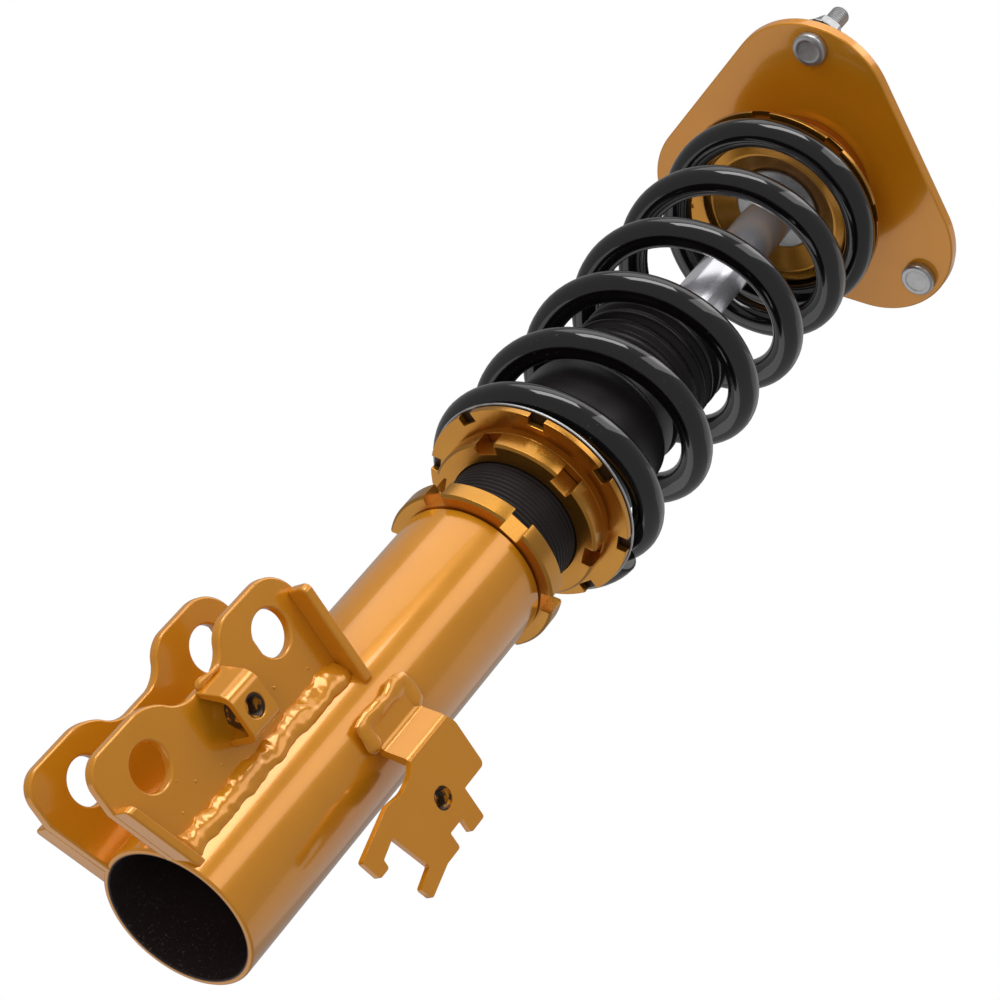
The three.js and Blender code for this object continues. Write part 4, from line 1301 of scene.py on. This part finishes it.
class COILOVER_OT_bearing(PieceOperator, bpy.types.Operator):
    """Builds the spherical bearing, its housing and its snap ring"""

    bl_idname = "coilover.bearing"
    bl_label = "Build Bearing"

    def execute(self, context):
        centre = Matrix.Translation((0, 0, sum(heights("bearing_ball")) / 2))
        ball = turned([(NECK_BORE, -9.5, 0.3), *arc_profile(14, 9.5, 32), (NECK_BORE, 9.5, 0.3)])
        add_piece(moved(ball, centre), "swivel_ball", "polished_chrome", "bearing_ball")
        race = turned([(20, -8, 0.5), (20, 8, 0.5), *reversed(arc_profile(14.3, 8, 28))])
        add_piece(moved(race, centre), "swivel_race", "plain_steel", "bearing_race")
        housing = turned([
            (17, -10.1, 0.5), (25.3, -10.1, 0.8), (25.3, -6.8, 0.4), (30, -6.8, 0.5),
            (30, -2.8, 0.5), (25.3, -2.8), (25.3, 11.9, 0.6), (20.3, 11.9, 0.4), (20.3, 10.4),
            (22.1, 10.4), (22.1, 8.0), (20.3, 8.0), (20.3, -8.3), (17, -8.3),
        ])
        add_piece(moved(housing, centre), "swivel_housing", "gold_anodised", "bearing_housing")
        add_piece(self.snap_ring(), "circlip", "black_steel", "snap_ring")
        return {"FINISHED"}

    def snap_ring(self):
        """An open ring of square wire with its slot towards +X."""
        slot = math.radians(30)
        bm = outline(square_section(18.8, 21.8, heights("snap_ring"), 0.3, 0.3))
        bare_edges(bm)
        moved(bm, Matrix.Rotation(slot / 2, 4, "Z"))
        first = bm.edges[:]
        last = of_kind(spun(bm, bm.verts[:] + first, TURN - slot, 88), BMEdge)
        bmesh.ops.contextual_create(bm, geom=first)
        bmesh.ops.contextual_create(bm, geom=last)
        return closed_up(bm)


def stud_spots(size):
    """Where the three studs stand, across the plate."""
    angles = [FIRST_ANGLE + number * TURN / 3 for number in range(3)]
    return [round_the_axis(angle) * size.stud_circle for angle in angles]


class COILOVER_OT_top_plate(PieceOperator, bpy.types.Operator):
    """Builds the three-cornered top plate"""

    bl_idname = "coilover.top_plate"
    bl_label = "Build Top Plate"

    def execute(self, context):
        size = settings(context)
        bottom, top = heights("top_plate")
        corner = 36.2
        centre = size.stud_circle + 9.6 - corner
        bm = bmesh.new()
        stretches = []
        for spot in stud_spots(size):
            outwards = spot.normalized()
            arm = Matrix.Rotation(-TURN / 6, 3, "Z") @ outwards * corner
            start = bm.verts.new(outwards * centre + arm)
            end = of_kind(spun(bm, [start], TURN / 3, 40, outwards * centre), BMVert)[0]
            stretches.append((start, end))
        closed_round(bm, stretches)
        holes = [(Vector((0, 0, 0)), 25.6, 96)]
        holes += [(spot, size.stud_radius + RUNNING_GAP, 32) for spot in stud_spots(size)]
        for spot, radius, steps in holes:
            place = Matrix.Translation(spot)
            bmesh.ops.create_circle(bm, cap_ends=False, segments=steps, radius=radius, matrix=place)
        plate = softened(raised(filled(bm), bottom, top), size.plate_edge)
        add_piece(plate, "tower_plate", "gold_paint", "top_plate")
        return {"FINISHED"}


class COILOVER_OT_fasteners(PieceOperator, bpy.types.Operator):
    """Builds the top studs with their washers and nuts"""

    bl_idname = "coilover.fasteners"
    bl_label = "Build Fasteners"

    def execute(self, context):
        size = settings(context)
        for number, spot in enumerate(stud_spots(size), 1):
            place = Matrix.Translation(spot)
            stud = moved(self.stud(size), place)
            add_piece(stud, f"stud_{number}", "zinc_plate", f"plate_stud_{number}")
            washer = moved(self.washer(size), place)
            node = f"serrated_washer_{number}"
            add_piece(washer, f"toothed_washer_{number}", "black_steel", node)
            nut = moved(self.nut(size), place)
            add_piece(nut, f"stud_nut_{number}", "zinc_plate", f"flange_nut_{number}")
        return {"FINISHED"}

    def stud(self, size):
        """A stud with a low button head below the plate."""
        head, top = heights("plate_stud_1")
        shank = size.stud_radius
        thread_foot = 473
        return turned([
            (0, head + 0.35), (4.2, head + 0.3), (5.0, head, 0.3),
            (size.stud_head - 0.7, head + 0.1, 0.4), (size.stud_head, head + 0.9, 0.5),
            (size.stud_head, head + 3.6, 0.3), (shank, head + 3.6), (shank, thread_foot),
            *ridges(shank, thread_foot + 1, top - 1.2, BOLT_PITCH, 0.55),
            (shank - 0.6, top - 0.8), (shank - 1.2, top, 0.3), (0, top),
        ], SMALL_STEPS)

    def washer(self, size):
        """A thin washer with teeth round its rim."""
        bottom, top = heights("serrated_washer_1")
        teeth = 16
        points = []
        for number in range(2 * teeth):
            radius = 9.6 - (number % 2) * 0.9
            angle = math.pi * number / teeth
            points.append((radius * math.cos(angle), radius * math.sin(angle)))
        bm = pierced(points, [(0, 0, size.stud_radius + RUNNING_GAP)], 32)
        return softened(level(bm, bottom, top), 0.12, 2)

    def nut(self, size):
        """A hexagon nut on a round flange."""
        bottom, top = heights("flange_nut_1")
        bore = size.stud_radius + 0.1
        flange = turned([
            (bore + 0.2, bottom, 0.3), (9, bottom, 0.35), (9, bottom + 0.9, 0.3),
            (6.6, bottom + 2.2, 0.3), (bore + 0.2, bottom + 2.2),
        ], SMALL_STEPS)
        return together(flange, hexagon_nut(13, bottom + 0.3, top, bore - 0.5, 0.15))


STUDIO_CENTRE = Vector((-0.008, 0.003, 0.223))  # what the lights face, in metres
VIEW_RIGHT = Vector((0.52242, -0.69798, 0.48979)).normalized()
VIEW_BACK = VIEW_RIGHT.cross(Vector((-0.79686, -0.19521, 0.57176))).normalized()
PHOTO_TURN = frame_of(VIEW_RIGHT, VIEW_BACK.cross(VIEW_RIGHT), VIEW_BACK).to_3x3()
# Name, direction from the piece (to the camera's right, up and back), distance, width and height in
# metres, brightness, and whether polished faces mirror the panel
PANELS = (
    ("strip_panel", (0.74, 0.67, 0.12), 1.6, 0.55, 2.4, 1.45, True),
    ("right_panel", (0.82, -0.18, -0.54), 1.6, 1.2, 1.5, 0.3, True),
    ("top_panel", (0.02, 0.93, 0.35), 1.6, 1.15, 0.55, 5.0, True),
    ("high_panel", (0.25, 0.95, -0.18), 1.6, 2.2, 0.9, 1.15, True),
    ("lower_left_panel", (-0.65, -0.75, -0.10), 1.8, 1.7, 1.7, 0.5, True),
    ("front_panel", (-0.25, 0.10, 0.95), 2.0, 1.0, 1.0, 3.4, False),
    ("left_panel", (-0.55, 0.75, 0.35), 1.8, 1.1, 1.1, 2.2, False),
)


class COILOVER_OT_stage(PieceOperator, bpy.types.Operator):
    """Sets up the floor, the lights and the photograph's camera"""

    bl_idname = "coilover.stage"
    bl_label = "Set Up Stage"

    def execute(self, context):
        self.floor()
        self.surroundings(context.scene)
        for row in PANELS:
            self.panel(*row)
        context.scene.camera = self.camera()
        return {"FINISHED"}

    def floor(self):
        """A pale floor that sends the piece no light."""
        bm = bmesh.new()
        bmesh.ops.create_grid(bm, x_segments=4, y_segments=4, size=9.0)
        moved(bm, Matrix.Translation((0, 0, -1.6)))
        mesh = as_mesh(bm, "studio_floor")
        mesh.materials.append(bpy.data.materials["floor_paper"])
        floor = linked("studio_floor", mesh)
        floor.visible_diffuse = False
        floor.visible_glossy = False

    def surroundings(self, scene):
        """A white room, softer where it lights the piece than where the camera sees it."""
        world = bpy.data.worlds.new("studio")
        world.use_nodes = True
        nodes, links = world.node_tree.nodes, world.node_tree.links
        nodes.clear()
        path = nodes.new("ShaderNodeLightPath")
        mix = nodes.new("ShaderNodeMixShader")
        output = nodes.new("ShaderNodeOutputWorld")
        links.new(path.outputs["Is Camera Ray"], mix.inputs[0])
        for place, strength in ((1, 0.33), (2, 1.0)):
            white = nodes.new("ShaderNodeBackground")
            white.inputs["Color"].default_value = (1, 1, 1, 1)
            white.inputs["Strength"].default_value = strength
            links.new(white.outputs[0], mix.inputs[place])
        links.new(mix.outputs[0], output.inputs["Surface"])
        scene.world = world
        scene.view_settings.view_transform = "Standard"

    def panel(self, name, aim, distance, width, height, strength, mirrored):
        """A soft panel of even brightness that faces the piece."""
        direction = (PHOTO_TURN @ Vector(aim)).normalized()
        data = bpy.data.lights.new(name, "AREA")
        data.shape = "RECTANGLE"
        data.size, data.size_y = width, height
        data.energy = strength * math.pi * width * height
        lamp = linked(name, data)
        lamp.visible_camera = False
        lamp.visible_glossy = mirrored
        depth = PHOTO_TURN @ Vector((0, 0, 1))
        across = depth.cross(direction).normalized()
        along = direction.cross(across)
        place = Matrix.Translation(STUDIO_CENTRE + direction * distance)
        lamp.matrix_world = place @ frame_of(across, along, direction)

    def camera(self):
        """The camera that was fitted to the photograph."""
        data = bpy.data.cameras.new("photo_camera")
        data.sensor_width = 36.0
        data.lens = 112.08
        data.clip_start = 0.05
        data.clip_end = 50.0
        camera = linked("photo_camera", data)
        place = Matrix.Translation((-0.35254, -0.77899, -0.52471))
        camera.matrix_world = place @ PHOTO_TURN.to_4x4()
        return camera


class COILOVER_PT_panel(bpy.types.Panel):
    """Lists what builds the coilover"""

    bl_idname = "COILOVER_PT_panel"
    bl_label = "Coilover"
    bl_space_type = "VIEW_3D"
    bl_region_type = "UI"
    bl_category = "Coilover"

    def draw(self, context):
        for operator in OPERATORS:
            self.layout.operator(operator.bl_idname)
        for group in (context.scene.coilover_sizes, context.scene.coilover_colours):
            box = self.layout.box()
            for key in type(group).__annotations__:
                box.prop(group, key)


OPERATORS = (
    COILOVER_OT_finishes, COILOVER_OT_tube, COILOVER_OT_ears, COILOVER_OT_welds,
    COILOVER_OT_hose_bracket, COILOVER_OT_sensor_bracket, COILOVER_OT_lock_rings, COILOVER_OT_perch,
    COILOVER_OT_spring, COILOVER_OT_damper, COILOVER_OT_boot, COILOVER_OT_rod, COILOVER_OT_seat,
    COILOVER_OT_bearing, COILOVER_OT_top_plate, COILOVER_OT_fasteners, COILOVER_OT_stage,
)
CLASSES = (CoiloverSizes, CoiloverColours, *OPERATORS, COILOVER_PT_panel)


def register():
    for kind in CLASSES:
        bpy.utils.register_class(kind)
    bpy.types.Scene.coilover_sizes = bpy.props.PointerProperty(type=CoiloverSizes)
    bpy.types.Scene.coilover_colours = bpy.props.PointerProperty(type=CoiloverColours)


def unregister():
    del bpy.types.Scene.coilover_colours
    del bpy.types.Scene.coilover_sizes
    for kind in reversed(CLASSES):
        bpy.utils.unregister_class(kind)


def main():
    """Builds everything."""
    register()
    for operator in OPERATORS:
        group, name = operator.bl_idname.split(".")
        getattr(getattr(bpy.ops, group), name)()


if __name__ == "__main__":
    main()
